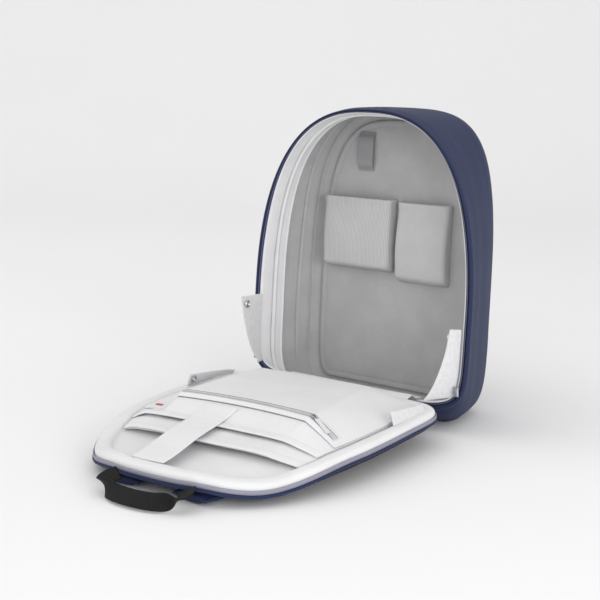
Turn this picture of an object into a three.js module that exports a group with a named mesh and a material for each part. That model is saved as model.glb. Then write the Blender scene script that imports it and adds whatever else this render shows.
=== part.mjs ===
// Anti-theft backpack lying open: the deep shell stands upright on its base and the padded
// back panel, which carries the pockets, handle and shoulder straps, lies in front of it.
// Millimetres, +Z up. The origin is on the flat underside of the shell, at its middle.
// The mouth of the shell faces -Y and the panel reaches away from it along -Y.

import * as THREE from 'three'
import { mergeVertices } from 'three/addons/utils/BufferGeometryUtils.js'

// Driving dimensions of the shell.
const bagHeight = 440
const mouthHalfWidth = 187
const shellDepth = 155
const shellWall = 3
const widestShare = 0.34
const leanShare = 0.055
const liningWall = 2
const liningDepth = 108
const liningEdge = 12
const bandThickness = 6
const bandLead = 3.2
const bandDepth = 21
const bandLip = -2
const tapeWidth = 5
const tapeThickness = 2
const pipingSize = 2.4
const gap = 0.3
const clothGap = 0.5

// Driving dimensions of the panel. Its height is the height of its rim above the floor.
const panelLength = 407
const panelHalfWidth = 180
const panelPower = 2.75
const panelYaw = THREE.MathUtils.degToRad(3.4)
const hingeGap = 39
const rimHeightAtHinge = 50
const rimHeightAtArch = 35
const rimFall = 1.9
const shoulderDrop = 12
const liningThickness = 12
const boardThickness = 4
const boardLip = 3
const padRim = 22
const sheetThickness = 1.8
const layerGap = 0.75

// Driving dimensions of the pieces on the panel.
const strapWidth = 66
const strapThickness = 13.3
const strapSpacing = 124
const laptopStrapWidth = 48
const laptopStrapCentre = -27
const handleWidth = 25
const handleSpan = 103
const handleReach = 38
const handleShift = 8
const webbingThickness = 2.2
const webbingWidth = 20
const wingThickness = 2
const snapRadius = 5.5
const snapThickness = 2.4

// Driving dimensions of the pieces on the back wall of the shell.
const organiserThickness = 4
const organiserMargin = 14
const pocketWall = 1.6
const meshPocket = { left: -121, right: -3, bottom: 196, top: 303, depth: 21 }
const casePocket = { left: 6, right: 92, bottom: 184, top: 301, depth: 13 }
const cableBandLength = 58
const cableBandTop = bagHeight - 39
const cableBand = {
  left: -74, right: -47, bottom: cableBandTop - cableBandLength, top: cableBandTop, rise: 7 }

const loopPoints = 40
const outerBandEnd = bandLip + bandDepth
const innerBandEnd = outerBandEnd + gap + bandDepth
const rimY = -shellDepth / 2

const navy = { color: 0x2b3350, roughness: 0.75, metalness: 0 }
const paleGrey = { color: 0xc4c4c6, roughness: 0.9, metalness: 0 }
const midGrey = { color: 0x8f9093, roughness: 0.9, metalness: 0 }
const darkGrey = { color: 0x55565a, roughness: 0.85, metalness: 0 }
const black = { color: 0x17181b, roughness: 0.8, metalness: 0 }
const violetGrey = { color: 0x6d6e7c, roughness: 0.8, metalness: 0 }
const blue = { color: 0x4c638f, roughness: 0.6, metalness: 0 }
const red = { color: 0xb5463c, roughness: 0.8, metalness: 0 }
const steel = { color: 0xb9bbc0, roughness: 0.35, metalness: 0.9 }

const bag = new THREE.Group()
const shellGroup = new THREE.Group()
const panelGroup = new THREE.Group()
panelGroup.position.set(0, rimY - hingeGap, 0)
panelGroup.rotation.z = panelYaw
bag.add(shellGroup, panelGroup)

function add(group, name, geometry, look) {
  const mesh = new THREE.Mesh(geometry, new THREE.MeshStandardMaterial(look))
  mesh.name = name
  group.add(mesh)
  return mesh
}

// Mesh makers

// Joins loops of equal length into one skin. Capped ends close on the middle of their loop.
function skin(loops, { closed = false } = {}) {
  const n = loops[0].length
  const positions = loops.flat(2)
  const index = []
  const last = closed ? loops.length : loops.length - 1
  const apart = (p, q) => Math.hypot(
    ...[0, 1, 2].map(axis => positions[p * 3 + axis] - positions[q * 3 + axis]))
  for (let row = 0; row < last; row++) {
    const a = row * n
    const b = ((row + 1) % loops.length) * n
    for (let k = 0; k < n; k++) {
      const next = (k + 1) % n
      // The shorter diagonal, so that skins that lie close together are cut the same way.
      if (apart(a + k, b + next) <= apart(a + next, b + k)) {
        index.push(a + k, a + next, b + next, a + k, b + next, b + k)
      } else {
        index.push(a + k, a + next, b + k, a + next, b + next, b + k)
      }
    }
  }
  if (!closed) {
    for (const [row, flip] of [[0, true], [loops.length - 1, false]]) {
      const middle = positions.length / 3
      for (let axis = 0; axis < 3; axis++) {
        positions.push(loops[row].reduce((sum, point) => sum + point[axis], 0) / n)
      }
      for (let k = 0; k < n; k++) {
        const next = (k + 1) % n
        if (flip) index.push(row * n + next, row * n + k, middle)
        else index.push(row * n + k, row * n + next, middle)
      }
    }
  }
  return facingOut(positions, index)
}

function signedVolume(positions, index) {
  const [a, b, c] = [new THREE.Vector3(), new THREE.Vector3(), new THREE.Vector3()]
  let volume = 0
  for (let k = 0; k < index.length; k += 3) {
    a.fromArray(positions, index[k] * 3)
    b.fromArray(positions, index[k + 1] * 3)
    c.fromArray(positions, index[k + 2] * 3)
    volume += a.dot(b.cross(c)) / 6
  }
  return volume
}

function facingOut(positions, index) {
  if (signedVolume(positions, index) < 0) index.reverse()
  const geometry = new THREE.BufferGeometry()
  geometry.setAttribute('position', new THREE.Float32BufferAttribute(positions, 3))
  geometry.setIndex(index)
  const merged = mergeVertices(geometry, 1e-4)
  merged.computeVertexNormals()
  return merged
}

// A sheet over a grid: under and over give the two faces of a point, by row and column share.
function sheet(rows, columns, over, under) {
  const positions = []
  for (const face of [over, under]) {
    for (let r = 0; r <= rows; r++) {
      for (let c = 0; c <= columns; c++) positions.push(...face(r / rows, c / columns))
    }
  }
  const width = columns + 1
  const offset = (rows + 1) * width
  const index = []
  const quad = (a, b, c, d) => index.push(a, b, c, a, c, d)
  for (let r = 0; r < rows; r++) {
    for (let c = 0; c < columns; c++) {
      const k = r * width + c
      quad(k, k + 1, k + 1 + width, k + width)
      quad(offset + k, offset + k + width, offset + k + 1 + width, offset + k + 1)
    }
  }
  for (let c = 0; c < columns; c++) {
    const far = rows * width + c
    quad(c + 1, c, offset + c, offset + c + 1)
    quad(far, far + 1, offset + far + 1, offset + far)
  }
  for (let r = 0; r < rows; r++) {
    const near = r * width
    const far = r * width + columns
    quad(near, near + width, offset + near + width, offset + near)
    quad(far + width, far, offset + far, offset + far + width)
  }
  return facingOut(positions, index)
}

// A flat ribbon along points. across gives the unit vector of its width at each point.
function ribbon(points, across, width, thickness) {
  const curve = new THREE.CatmullRomCurve3(points.map(p => new THREE.Vector3(...p)))
  const steps = (points.length - 1) * 3
  const loops = []
  for (let k = 0; k <= steps; k++) {
    const share = k / steps
    const here = curve.getPoint(share)
    const along = curve.getTangent(share)
    const side = new THREE.Vector3(...across(share))
    side.addScaledVector(along, -side.dot(along)).normalize()
    const up = new THREE.Vector3().crossVectors(along, side)
    const wide = typeof width === 'function' ? width(share) : width
    const thick = typeof thickness === 'function' ? thickness(share) : thickness
    loops.push(roundedSection(wide, thick).map(([s, t]) =>
      here.clone().addScaledVector(side, s).addScaledVector(up, t).toArray()))
  }
  return skin(loops)
}

// The eight-cornered section of a strap.
function roundedSection(width, thickness) {
  const cut = Math.min(width, thickness) * 0.28
  const [w, t] = [width / 2, thickness / 2]
  return [[-w, -t + cut], [-w + cut, -t], [w - cut, -t], [w, -t + cut],
    [w, t - cut], [w - cut, t], [-w + cut, t], [-w, t - cut]]
}

// Outlines

// The arch of the mouth and of the panel: two superellipses that meet at the widest height.
function arch({ halfWidth, top, bottom, widest, topPower, lowPower }) {
  const dense = []
  const count = 720
  for (let k = 0; k < count; k++) {
    const angle = -Math.PI / 2 + (2 * Math.PI * k) / count
    const [c, s] = [Math.cos(angle), Math.sin(angle)]
    const power = s > 0 ? topPower : lowPower
    const reach = s > 0 ? top - widest : widest - bottom
    dense.push([
      halfWidth * Math.sign(c) * Math.abs(c) ** (2 / power),
      widest + reach * Math.sign(s) * Math.abs(s) ** (2 / power)])
  }
  return resample(dense, loopPoints)
}

function resample(points, count) {
  const lengths = [0]
  for (let k = 1; k <= points.length; k++) {
    const [a, b] = [points[k - 1], points[k % points.length]]
    lengths.push(lengths[k - 1] + Math.hypot(b[0] - a[0], b[1] - a[1]))
  }
  const total = lengths[points.length]
  const result = []
  let k = 0
  for (let m = 0; m < count; m++) {
    const target = (total * m) / count
    while (lengths[k + 1] < target) k++
    const share = (target - lengths[k]) / (lengths[k + 1] - lengths[k])
    const [a, b] = [points[k], points[(k + 1) % points.length]]
    result.push([a[0] + (b[0] - a[0]) * share, a[1] + (b[1] - a[1]) * share])
  }
  return result
}

// Sections of the shell from its mouth to its back. depth is a share of shellDepth, width of
// mouthHalfWidth, top and bottom of bagHeight; corner is the power of the arch.
const shellSections = [
  { depth: 0, width: 1, top: 0.995, bottom: 0.064, corner: 2.5 },
  { depth: outerBandEnd / shellDepth, width: 0.963, top: 1, bottom: 0.028, corner: 2.6 },
  { depth: innerBandEnd / shellDepth, width: 0.93, top: 1, bottom: 0.004, corner: 2.7 },
  { depth: 0.36, width: 0.9, top: 1, bottom: -0.012, corner: 2.8 },
  { depth: (liningDepth - liningEdge) / shellDepth,
    width: 0.842, top: 0.998, bottom: -0.014, corner: 3.1 },
  { depth: 0.87, width: 0.767, top: 0.986, bottom: -0.01, corner: 3.5 },
  { depth: 0.95, width: 0.71, top: 0.965, bottom: 0.03, corner: 3.4 },
  { depth: 1, width: 0.587, top: 0.92, bottom: 0.08, corner: 3.2 }]

function sectionAt(depthShare) {
  const at = THREE.MathUtils.clamp(depthShare, 0, 1)
  let k = 0
  while (k < shellSections.length - 2 && shellSections[k + 1].depth < at) k++
  const [a, b] = [shellSections[k], shellSections[k + 1]]
  const share = (at - a.depth) / (b.depth - a.depth)
  const mix = key => a[key] + (b[key] - a[key]) * share
  return { width: mix('width'), top: mix('top'), bottom: mix('bottom'), corner: mix('corner') }
}

// One loop of the shell at a depth behind the mouth, drawn in from its outer face by inset.
function shellLoop(depth, inset) {
  const section = sectionAt(depth / shellDepth)
  const outer = arch({
    halfWidth: section.width * mouthHalfWidth,
    top: section.top * bagHeight,
    bottom: section.bottom * bagHeight,
    widest: widestShare * bagHeight,
    topPower: section.corner,
    lowPower: 6 })
  return drawnIn(outer, inset).map(([x, z]) => shellPoint(x, depth, Math.max(z, inset)))
}

// Moves each point of a loop inwards along its normal, so that nested loops stay parallel.
function drawnIn(points, inset) {
  const n = points.length
  return points.map(([x, z], k) => {
    const [before, after] = [points[(k + n - 1) % n], points[(k + 1) % n]]
    const [dx, dz] = [after[0] - before[0], after[1] - before[1]]
    const length = Math.hypot(dx, dz)
    return [x - (inset * dz) / length, z + (inset * dx) / length]
  })
}

// The mouth leans back a little, and less so towards the back of the shell.
function shellPoint(x, depth, z) {
  const lean = leanShare * z * (1 - 0.5 * depth / shellDepth)
  return [x, rimY + depth + lean, z]
}

function shellRing(corners) {
  return skin(corners.map(([depth, inset]) => shellLoop(depth, inset)), { closed: true })
}

// The depths from start to end at which a ring has to bend with the wall of the shell.
function bends(start, end) {
  const between = shellSections.map(section => section.depth * shellDepth)
    .filter(depth => depth > start && depth < end)
  return [start, ...between, end]
}

// Shell

const tableDepths = shellSections.map(section => section.depth * shellDepth)
const innerEnd = shellDepth - shellWall
add(shellGroup, 'shell', skin([
  ...tableDepths.slice().reverse().map(depth => shellLoop(depth, 0)),
  ...tableDepths.filter(depth => depth < innerEnd).map(depth => shellLoop(depth, shellWall)),
  shellLoop(innerEnd, shellWall)]), navy)

// The lining follows the wall of the shell to its own back wall, whose edge is rounded.
const liningInset = shellWall + clothGap
const liningInner = liningInset + liningWall
const straightDepths = tableDepths.filter(depth => depth < liningDepth - liningEdge)
const roundedDepths = [[-liningEdge, 0], [-liningEdge * 0.3, liningEdge * 0.3], [0, liningEdge]]
add(shellGroup, 'shell_lining', skin([
  ...roundedDepths.slice().reverse().map(([back, round]) =>
    shellLoop(liningDepth + back, liningInset + round)),
  ...straightDepths.slice().reverse().map(depth => shellLoop(depth, liningInset)),
  ...straightDepths.map(depth => shellLoop(depth, liningInner)),
  ...roundedDepths.map(([back, round]) =>
    shellLoop(liningDepth - liningWall + back, liningInner + round))]), midGrey)

// The front edge of the outer band stands bandLead further in, beside the piping.
const bandInset = liningInner + clothGap
function mouthBand(start, end) {
  return shellRing([
    ...bends(start, end).map(depth => [depth, bandInset + (depth < 0 ? bandLead : 0)]),
    ...bends(start, end).reverse().map((depth, k, all) =>
      [depth, bandInset + bandThickness * (k === 0 || k === all.length - 1 ? 0.8 : 1)])])
}
add(shellGroup, 'mouth_band_outer', mouthBand(bandLip, outerBandEnd), paleGrey)
add(shellGroup, 'mouth_band_inner', mouthBand(outerBandEnd + gap, innerBandEnd), paleGrey)
const tapeInset = 1.2
const tapeFlare = 0.3
add(shellGroup, 'shell_zip_tape', shellRing([
  [-gap, tapeInset],
  [-gap, tapeInset + tapeThickness],
  [-tapeWidth, tapeInset + tapeFlare + tapeThickness],
  [-tapeWidth, tapeInset + tapeFlare]]), violetGrey)
const pipingInset = tapeInset + tapeFlare + tapeThickness + gap * 2
add(shellGroup, 'shell_piping', shellRing([
  [-gap * 2, pipingInset],
  [-gap * 2, pipingInset + pipingSize * 0.7],
  [-gap * 2 - pipingSize * 0.6, pipingInset + pipingSize * 0.9],
  [-gap * 2 - pipingSize, pipingInset + pipingSize * 0.5],
  [-gap * 2 - pipingSize * 0.6, pipingInset]]), blue)

// Back wall of the shell

const wallDepth = liningDepth - liningWall
const organiserFront = wallDepth - gap - organiserThickness
add(shellGroup, 'organiser_panel', skin([
  shellLoop(wallDepth - gap, liningInner + organiserMargin + 1),
  shellLoop(wallDepth - gap - 1, liningInner + organiserMargin),
  shellLoop(organiserFront + 1, liningInner + organiserMargin),
  shellLoop(organiserFront, liningInner + organiserMargin + 2)]), midGrey)

// An open-topped pouch against the back wall. bulge swells its front at the middle.
function pouch({ left, right, bottom, top, depth }, bulge) {
  const back = organiserFront - gap
  const level = (height, wall) => {
    const share = (height - bottom) / (top - bottom)
    const swell = bulge * Math.sin(Math.PI * Math.min(share * 1.15, 1))
    const front = back - depth - swell + wall
    const [l, r, b] = [left + wall, right - wall, back - wall]
    const corner = 4
    const outline = [[l, b], [l, front + corner], [l + corner, front],
      [(l + r) / 2, front - bulge * 0.4], [r - corner, front], [r, front + corner], [r, b]]
    return outline.map(([x, d]) => shellPoint(x, d, height))
  }
  const heights = [bottom, bottom + (top - bottom) * 0.35, bottom + (top - bottom) * 0.7, top]
  return skin([
    ...heights.map(height => level(height, 0)),
    ...heights.slice(1).reverse().map(height => level(height, pocketWall)),
    level(bottom + pocketWall, pocketWall)])
}
add(shellGroup, 'mesh_pocket', pouch(meshPocket, 2), midGrey)
add(shellGroup, 'case_pocket', pouch(casePocket, 5), paleGrey)

// The band stands off the wall between its stitched ends, so that a lead passes behind it.
const bandMiddle = (cableBand.left + cableBand.right) / 2
const bandBack = organiserFront - gap - sheetThickness / 2
const bandRise = [[0, 0], [0.05, 0.1], [0.17, 1], [0.83, 1], [0.95, 0.1], [1, 0]]
add(shellGroup, 'cable_band', ribbon(
  bandRise.map(([share, rise]) => shellPoint(
    bandMiddle, bandBack - rise * cableBand.rise,
    cableBand.bottom + share * (cableBand.top - cableBand.bottom))),
  () => [1, 0, 0], cableBand.right - cableBand.left, sheetThickness), darkGrey)

// Wings: the flaps at the foot of the mouth that snap together when the bag is closed.
// height is a share of bagHeight; root and tip are distances in from the wall and out from
// the mouth, as shares of wingReach.
const wingReach = 50
const shellWings = {
  left: [
    { height: 0.125, rootIn: 0.27, tipIn: 0.34, out: 0.34 },
    { height: 0.19, rootIn: 0.27, tipIn: 0.28, out: 0.56 },
    { height: 0.28, rootIn: 0.27, tipIn: 0.22, out: 0.8 },
    { height: 0.352, rootIn: 0.27, tipIn: 0.18, out: 0.92 }],
  right: [
    { height: 0.122, rootIn: 0.27, tipIn: 0.66, out: 0.84 },
    { height: 0.19, rootIn: 0.27, tipIn: 0.58, out: 0.62 },
    { height: 0.27, rootIn: 0.27, tipIn: 0.52, out: 0.36 },
    { height: 0.335, rootIn: 0.27, tipIn: 0.5, out: 0.24 }] }
const wingRoot = 2.6

// Half the width of the mouth at a height.
function halfWidthAt(height) {
  const half = shellLoop(0, 0).filter(([x]) => x >= 0)
  const k = half.findIndex((point, m) => m > 0 && half[m - 1][2] <= height && point[2] >= height)
  const [a, b] = [half[k - 1], half[k]]
  return a[0] + (b[0] - a[0]) * (height - a[2]) / (b[2] - a[2])
}

// A point of a wing, by row share from its foot to its top and column share from root to tip.
function wingPoint(rows, side, rowShare, columnShare, offset) {
  const at = rowShare * (rows.length - 1)
  const k = Math.min(Math.floor(at), rows.length - 2)
  const mix = key => rows[k][key] + (rows[k + 1][key] - rows[k][key]) * (at - k)
  const height = mix('height') * bagHeight
  const inwards = (mix('rootIn') + (mix('tipIn') - mix('rootIn')) * columnShare) * wingReach
  const out = wingRoot + (mix('out') * wingReach - wingRoot) * columnShare
  return shellPoint(side * (halfWidthAt(height) - inwards) + offset, -out, height)
}

function wing(rows, side) {
  const face = offset => (rowShare, columnShare) =>
    wingPoint(rows, side, rowShare, columnShare, side * offset)
  return sheet(6, 3, face(wingThickness / 2), face(-wingThickness / 2))
}
add(shellGroup, 'shell_wing_left', wing(shellWings.left, -1), paleGrey)
add(shellGroup, 'shell_wing_right', wing(shellWings.right, 1), paleGrey)

// A snap: a round stud with a dished face. It sits on a wing, whose surface point(row, column)
// gives, and looks towards +X or -X with it.
function snapOn(point, row, column, facing) {
  const [r, t] = [snapRadius, snapThickness]
  const profile = [[0, 0], [r * 0.9, 0], [r, t * 0.4], [r * 0.8, t], [r * 0.45, t], [r * 0.35, t * 0.5],
    [0, t * 0.5]]
  const geometry = new THREE.LatheGeometry(profile.map(p => new THREE.Vector2(...p)), 10)
  geometry.deleteAttribute('normal')
  geometry.deleteAttribute('uv')
  const here = new THREE.Vector3(...point(row, column))
  const along = new THREE.Vector3(...point(row + 0.05, column)).sub(here)
  const normal = new THREE.Vector3(...point(row, column + 0.05)).sub(here).cross(along).normalize()
  if (normal.x * facing < 0) normal.negate()
  here.addScaledVector(normal, wingThickness / 2 + clothGap)
  const turn = new THREE.Quaternion().setFromUnitVectors(new THREE.Vector3(0, 1, 0), normal)
  geometry.applyQuaternion(turn)
  geometry.translate(...here.toArray())
  return mergeVertices(geometry, 1e-4)
}
const snapRow = 0.88
const snapColumn = 0.8
add(shellGroup, 'shell_snap_left', snapOn(
  (row, column) => wingPoint(shellWings.left, -1, row, column, 0), snapRow, snapColumn, 1), steel)
add(shellGroup, 'shell_snap_right', snapOn(
  (row, column) => wingPoint(shellWings.right, 1, row, column, 0), snapRow, snapColumn, -1), steel)

// Panel

// The height of the rim. It falls towards the arch, whose shoulders droop past the straps.
function rimAt(u, x = 0) {
  const fall = THREE.MathUtils.clamp(u / panelLength, 0, 1) ** rimFall
  const droop = shoulderDrop * THREE.MathUtils.smoothstep(Math.abs(x) / panelHalfWidth, 0.3, 0.8) *
    THREE.MathUtils.smoothstep(u / panelLength, 0.59, 0.91)
  return rimHeightAtHinge + (rimHeightAtArch - rimHeightAtHinge) * fall - droop
}
const panelWidest = 0.3 * panelLength
const panelOutline = arch({
  halfWidth: panelHalfWidth, top: panelLength, bottom: 0, widest: panelWidest,
  topPower: panelPower, lowPower: 6 })

function panelLoop(inset, height) {
  return drawnIn(panelOutline, inset).map(([x, u]) => [x, -u, height(u, x)])
}

// A loop shrunk towards the middle of the panel, for the inner rings of a broad face.
function shrunk(inset, share, height) {
  const middle = 0.47 * panelLength
  return drawnIn(panelOutline, inset).map(([x, u]) => {
    const length = middle + (u - middle) * share
    return [x * share, -length, height(length, x * share)]
  })
}

const padHeight = 9
const liningUnder = (u, x) => rimAt(u, x) - liningThickness
const liningFloor = (u, x) => rimAt(u, x) - padHeight
add(panelGroup, 'panel_lining', skin([
  shrunk(padRim, 0.5, liningUnder),
  panelLoop(padRim, liningUnder),
  panelLoop(2, liningUnder),
  panelLoop(0, (u, x) => liningUnder(u, x) + 3),
  panelLoop(0, (u, x) => rimAt(u, x) - 3),
  panelLoop(4, rimAt),
  panelLoop(padRim * 0.7, rimAt),
  panelLoop(padRim, (u, x) => rimAt(u, x) - 4),
  panelLoop(padRim + 1, liningFloor),
  shrunk(padRim + 1, 0.5, liningFloor)]), paleGrey)

const boardTop = (u, x) => liningUnder(u, x) - gap
const boardUnder = (u, x) => boardTop(u, x) - boardThickness
add(panelGroup, 'panel_board', skin([
  shrunk(padRim, 0.5, boardUnder),
  panelLoop(padRim, boardUnder),
  panelLoop(-boardLip, boardUnder),
  panelLoop(-boardLip, boardTop),
  panelLoop(2, boardTop),
  panelLoop(padRim, boardTop),
  shrunk(padRim, 0.5, boardTop)]), navy)
const tapeUnder = (u, x) => boardTop(u, x) + gap
add(panelGroup, 'panel_zip_tape', skin([
  panelLoop(-gap, tapeUnder),
  panelLoop(-gap, (u, x) => tapeUnder(u, x) + tapeWidth),
  panelLoop(-gap - tapeThickness, (u, x) => tapeUnder(u, x) + tapeWidth),
  panelLoop(-gap - tapeThickness, tapeUnder)], { closed: true }), violetGrey)
const pipingTop = (u, x) => boardUnder(u, x) - gap
add(panelGroup, 'panel_piping', skin([
  panelLoop(1.5, pipingTop),
  panelLoop(1.5 + pipingSize, pipingTop),
  panelLoop(0.5 + pipingSize, (u, x) => pipingTop(u, x) - pipingSize),
  panelLoop(2.5, (u, x) => pipingTop(u, x) - pipingSize)], { closed: true }), blue)

// The padding hangs under the board and comes down to the straps. Its arch stops short of the
// panel's, where the straps are sewn on.
const paddingInset = 6
const paddingReach = 0.86
const strapTop = strapThickness + 0.4
const paddingLoop = (share, height) => drawnIn(panelOutline, paddingInset).map(([x, u]) => {
  const middle = 0.4 * panelLength
  const reach = u > middle ? paddingReach : 1
  const length = middle + (u - middle) * share * reach
  return [x * share, -length, height(length, x * share)]
})
const paddingSlack = 1.8
const paddingTop = (u, x) => boardUnder(u, x) - gap -
  paddingSlack * THREE.MathUtils.smoothstep(u / panelLength, 0.5, 0.75)
const paddingLow = (u, x) => Math.min(strapTop, paddingTop(u, x) - 3.5)
add(panelGroup, 'back_padding', skin([
  paddingLoop(0.5, paddingLow),
  paddingLoop(0.84, paddingLow),
  paddingLoop(0.95, (u, x) => Math.max(paddingLow(u, x) + 0.5, paddingTop(u, x) - 11)),
  paddingLoop(1, (u, x) => Math.max(paddingLow(u, x) + 1, paddingTop(u, x) - 5)),
  paddingLoop(1, paddingTop),
  paddingLoop(0.5, paddingTop)]), black)

// Straps and their webbing, mirrored about the middle of the panel.
const strapRows = [
  { along: 0.925, out: 0.42, width: 0.8 },
  { along: 0.8, out: 0.47, width: 1 },
  { along: 0.6, out: 0.5, width: 1 },
  { along: 0.42, out: 0.55, width: 0.9 },
  { along: 0.24, out: 0.6, width: 0.6 }]
const strapEnd = strapRows[strapRows.length - 1]
const buckle = { length: 24, width: 34, thickness: 6 }
for (const [side, name] of [[-1, 'left'], [1, 'right']]) {
  add(panelGroup, `shoulder_strap_${name}`, ribbon(
    strapRows.map(row => [side * row.out * strapSpacing, -row.along * panelLength, strapThickness / 2]),
    () => [1, 0, 0],
    share => {
      const at = Math.min(share, 0.9999) * (strapRows.length - 1)
      const [a, b] = [strapRows[Math.floor(at)], strapRows[Math.floor(at) + 1]]
      return (a.width + (b.width - a.width) * (at % 1)) * strapWidth
    },
    strapThickness), navy)
  const buckleFrom = -strapEnd.along * panelLength + gap + 3
  const buckleX = side * strapEnd.out * strapSpacing * 1.02
  add(panelGroup, `strap_buckle_${name}`, skin([0, buckle.length].map(y =>
    roundedSection(buckle.width, buckle.thickness).map(([w, t]) =>
      [buckleX + w, buckleFrom + y, buckle.thickness / 2 + t]))), black)
  const webFrom = buckleFrom + buckle.length + clothGap
  const webEnd = strapTop - clothGap - webbingThickness / 2 - gap
  add(panelGroup, `strap_webbing_${name}`, ribbon([
    [buckleX, webFrom, webbingThickness],
    [buckleX, webFrom + 10, webbingThickness],
    [buckleX + side * 6, webFrom + 22, webEnd * 0.45],
    [buckleX + side * 12, webFrom + 34, webEnd * 0.9],
    [buckleX + side * 16, webFrom + 44, webEnd]],
    share => [1, side * 0.4 * share, 0], webbingWidth, webbingThickness), black)
}

// The carry handle: webbing that leaves the edge of the board flat and stands on the floor.
const handleEdge = panelLength * 0.9962 + boardLip + gap
const handleRoute = [
  { across: -0.5, out: 0, height: 0.77 },
  { across: -0.55, out: 0.22, height: 0.68 },
  { across: -0.53, out: 0.55, height: 0.54 },
  { across: -0.36, out: 0.86, height: 0.44 },
  { across: 0, out: 1, height: 0.41 },
  { across: 0.36, out: 0.86, height: 0.44 },
  { across: 0.53, out: 0.55, height: 0.54 },
  { across: 0.55, out: 0.22, height: 0.68 },
  { across: 0.5, out: 0, height: 0.77 }]
add(panelGroup, 'carry_handle', ribbon(
  handleRoute.map(row => [row.across * handleSpan + handleShift,
    -(handleEdge + webbingThickness / 2 + row.out * handleReach), row.height * handleWidth + 1.2]),
  share => [-Math.cos(Math.PI * share), 0.68 * Math.sin(Math.PI * share),
    0.3 + 0.43 * Math.sin(Math.PI * share)], handleWidth, webbingThickness), black)

// Pockets of the panel, from the laptop sleeve up to the zip pocket. Each is a sheet sewn at
// its sides and at the hinge, open at its mouth. mouth is a share of panelLength; near and far
// are its heights above the lining at the hinge and at the mouth.
const pockets = [
  { name: 'laptop_pocket', mouth: 0.74, near: 5, far: 5, dip: -0.02, look: paleGrey },
  { name: 'tablet_pocket', mouth: 0.765, near: 9.5, far: 10, dip: -0.035, look: paleGrey },
  { name: 'phone_pocket', mouth: 0.665, near: 14, far: 15, dip: 0, look: paleGrey },
  { name: 'zip_pocket', mouth: 0.54, near: 18, far: 25.5, dip: 0.05, look: paleGrey }]
const mouthDrop = 0.64
const pocketStart = padRim + 4
const floorOutline = drawnIn(panelOutline, padRim + 2)
const sideProfile = [
  { across: -1, rise: 0 }, { across: -0.93, rise: 0.5 }, { across: -0.83, rise: 0.9 },
  { across: -0.6, rise: 1 }, { across: -0.25, rise: 1 }, { across: 0.1, rise: 1 },
  { across: 0.42, rise: 1 }, { across: 0.64, rise: 0.97 }, { across: 0.82, rise: 0.6 },
  { across: 0.93, rise: 0.3 }, { across: 1, rise: 0 }]

// Half the width of the lining's floor at a distance from the hinge.
function floorHalfWidth(u) {
  const half = floorOutline.filter(([x]) => x >= 0)
  const k = half.findIndex(([, at], m) => m > 0 && half[m - 1][1] <= u && at >= u)
  const [a, b] = [half[k - 1], half[k]]
  return a[0] + (b[0] - a[0]) * (u - a[1]) / (b[1] - a[1])
}

// The rows of every pocket bend at the same two places by the hinge, are even from there on,
// and bend once more just before the mouth.
const firstBends = [0, 12, 30]
const mouthBend = 6
const evenRows = 6
function rowAt(row, end) {
  if (row < firstBends.length) return pocketStart + firstBends[row]
  if (row === firstBends.length + evenRows) return end
  const from = pocketStart + firstBends[firstBends.length - 1]
  return from + (end - mouthBend - from) * (row - firstBends.length + 1) / evenRows
}

function pocketSheet({ mouth, near, far, dip }, layer, closedMouth) {
  const columns = sideProfile.length - 1
  const rows = firstBends.length + evenRows
  const low = (u, x) => liningFloor(u, x) + clothGap + layer * (sheetThickness + layerGap) + sheetThickness
  const surface = drop => (rowShare, columnShare) => {
    const { across, rise } = sideProfile[Math.round(columnShare * columns)]
    const row = Math.round(rowShare * rows)
    const end = (mouth + dip * across * across) * panelLength
    const u = rowAt(row, end)
    const share = (u - pocketStart) / (end - pocketStart)
    const lift = row === 0 ? 0 : (near + (far - near) * share) * rise
    const shut = closedMouth && row === rows ? mouthDrop : 1
    const x = across * floorHalfWidth(u)
    return [x, -u, low(u, x) + lift * shut - drop]
  }
  return sheet(rows, columns, surface(0), surface(sheetThickness))
}
pockets.forEach((pocket, layer) =>
  add(panelGroup, pocket.name, pocketSheet(pocket, layer, layer === 3), pocket.look))

// The top face of a pocket at a distance from the hinge and a share of its half width.
function pocketTop(layer, u, across = 0) {
  const { mouth, near, far, dip } = pockets[layer]
  const end = (mouth + dip * across * across) * panelLength
  const share = (u - pocketStart) / (end - pocketStart)
  const k = sideProfile.findIndex(row => row.across > across)
  const [a, b] = [sideProfile[k - 1], sideProfile[k]]
  const rise = a.rise + (b.rise - a.rise) * (across - a.across) / (b.across - a.across)
  const low = liningFloor(u, across * floorHalfWidth(u)) + clothGap +
    layer * (sheetThickness + layerGap) + sheetThickness
  return low + (near + (far - near) * share) * rise
}

// The zip along the mouth of the zip pocket, with its slider and pull.
const zipLayer = 3
const zipWidth = 9
const zipThickness = 1.4
const zipSeat = mouthBend + zipWidth / 2 + 1
const zipU = across =>
  (pockets[zipLayer].mouth + pockets[zipLayer].dip * across * across) * panelLength - zipSeat
const zipPoint = (across, lift) => {
  const u = zipU(across)
  return [across * floorHalfWidth(u), -u, pocketTop(zipLayer, u, across) + lift]
}
const zipAcross = [-0.6, -0.25, 0.1, 0.42, 0.64, 0.82]
const zipLift = clothGap + zipThickness / 2
add(panelGroup, 'pocket_zipper', ribbon(
  zipAcross.map(across => zipPoint(across, zipLift)), () => [0, 1, 0], zipWidth, zipThickness), violetGrey)
const sliderSize = { length: 10, width: 7, thickness: 3.2 }
const pullSize = { length: 22, width: 6, thickness: 1.6 }
const sliderAcross = 0.655
const sliderLift = clothGap + zipThickness + gap * 3 + sliderSize.thickness / 2

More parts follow.
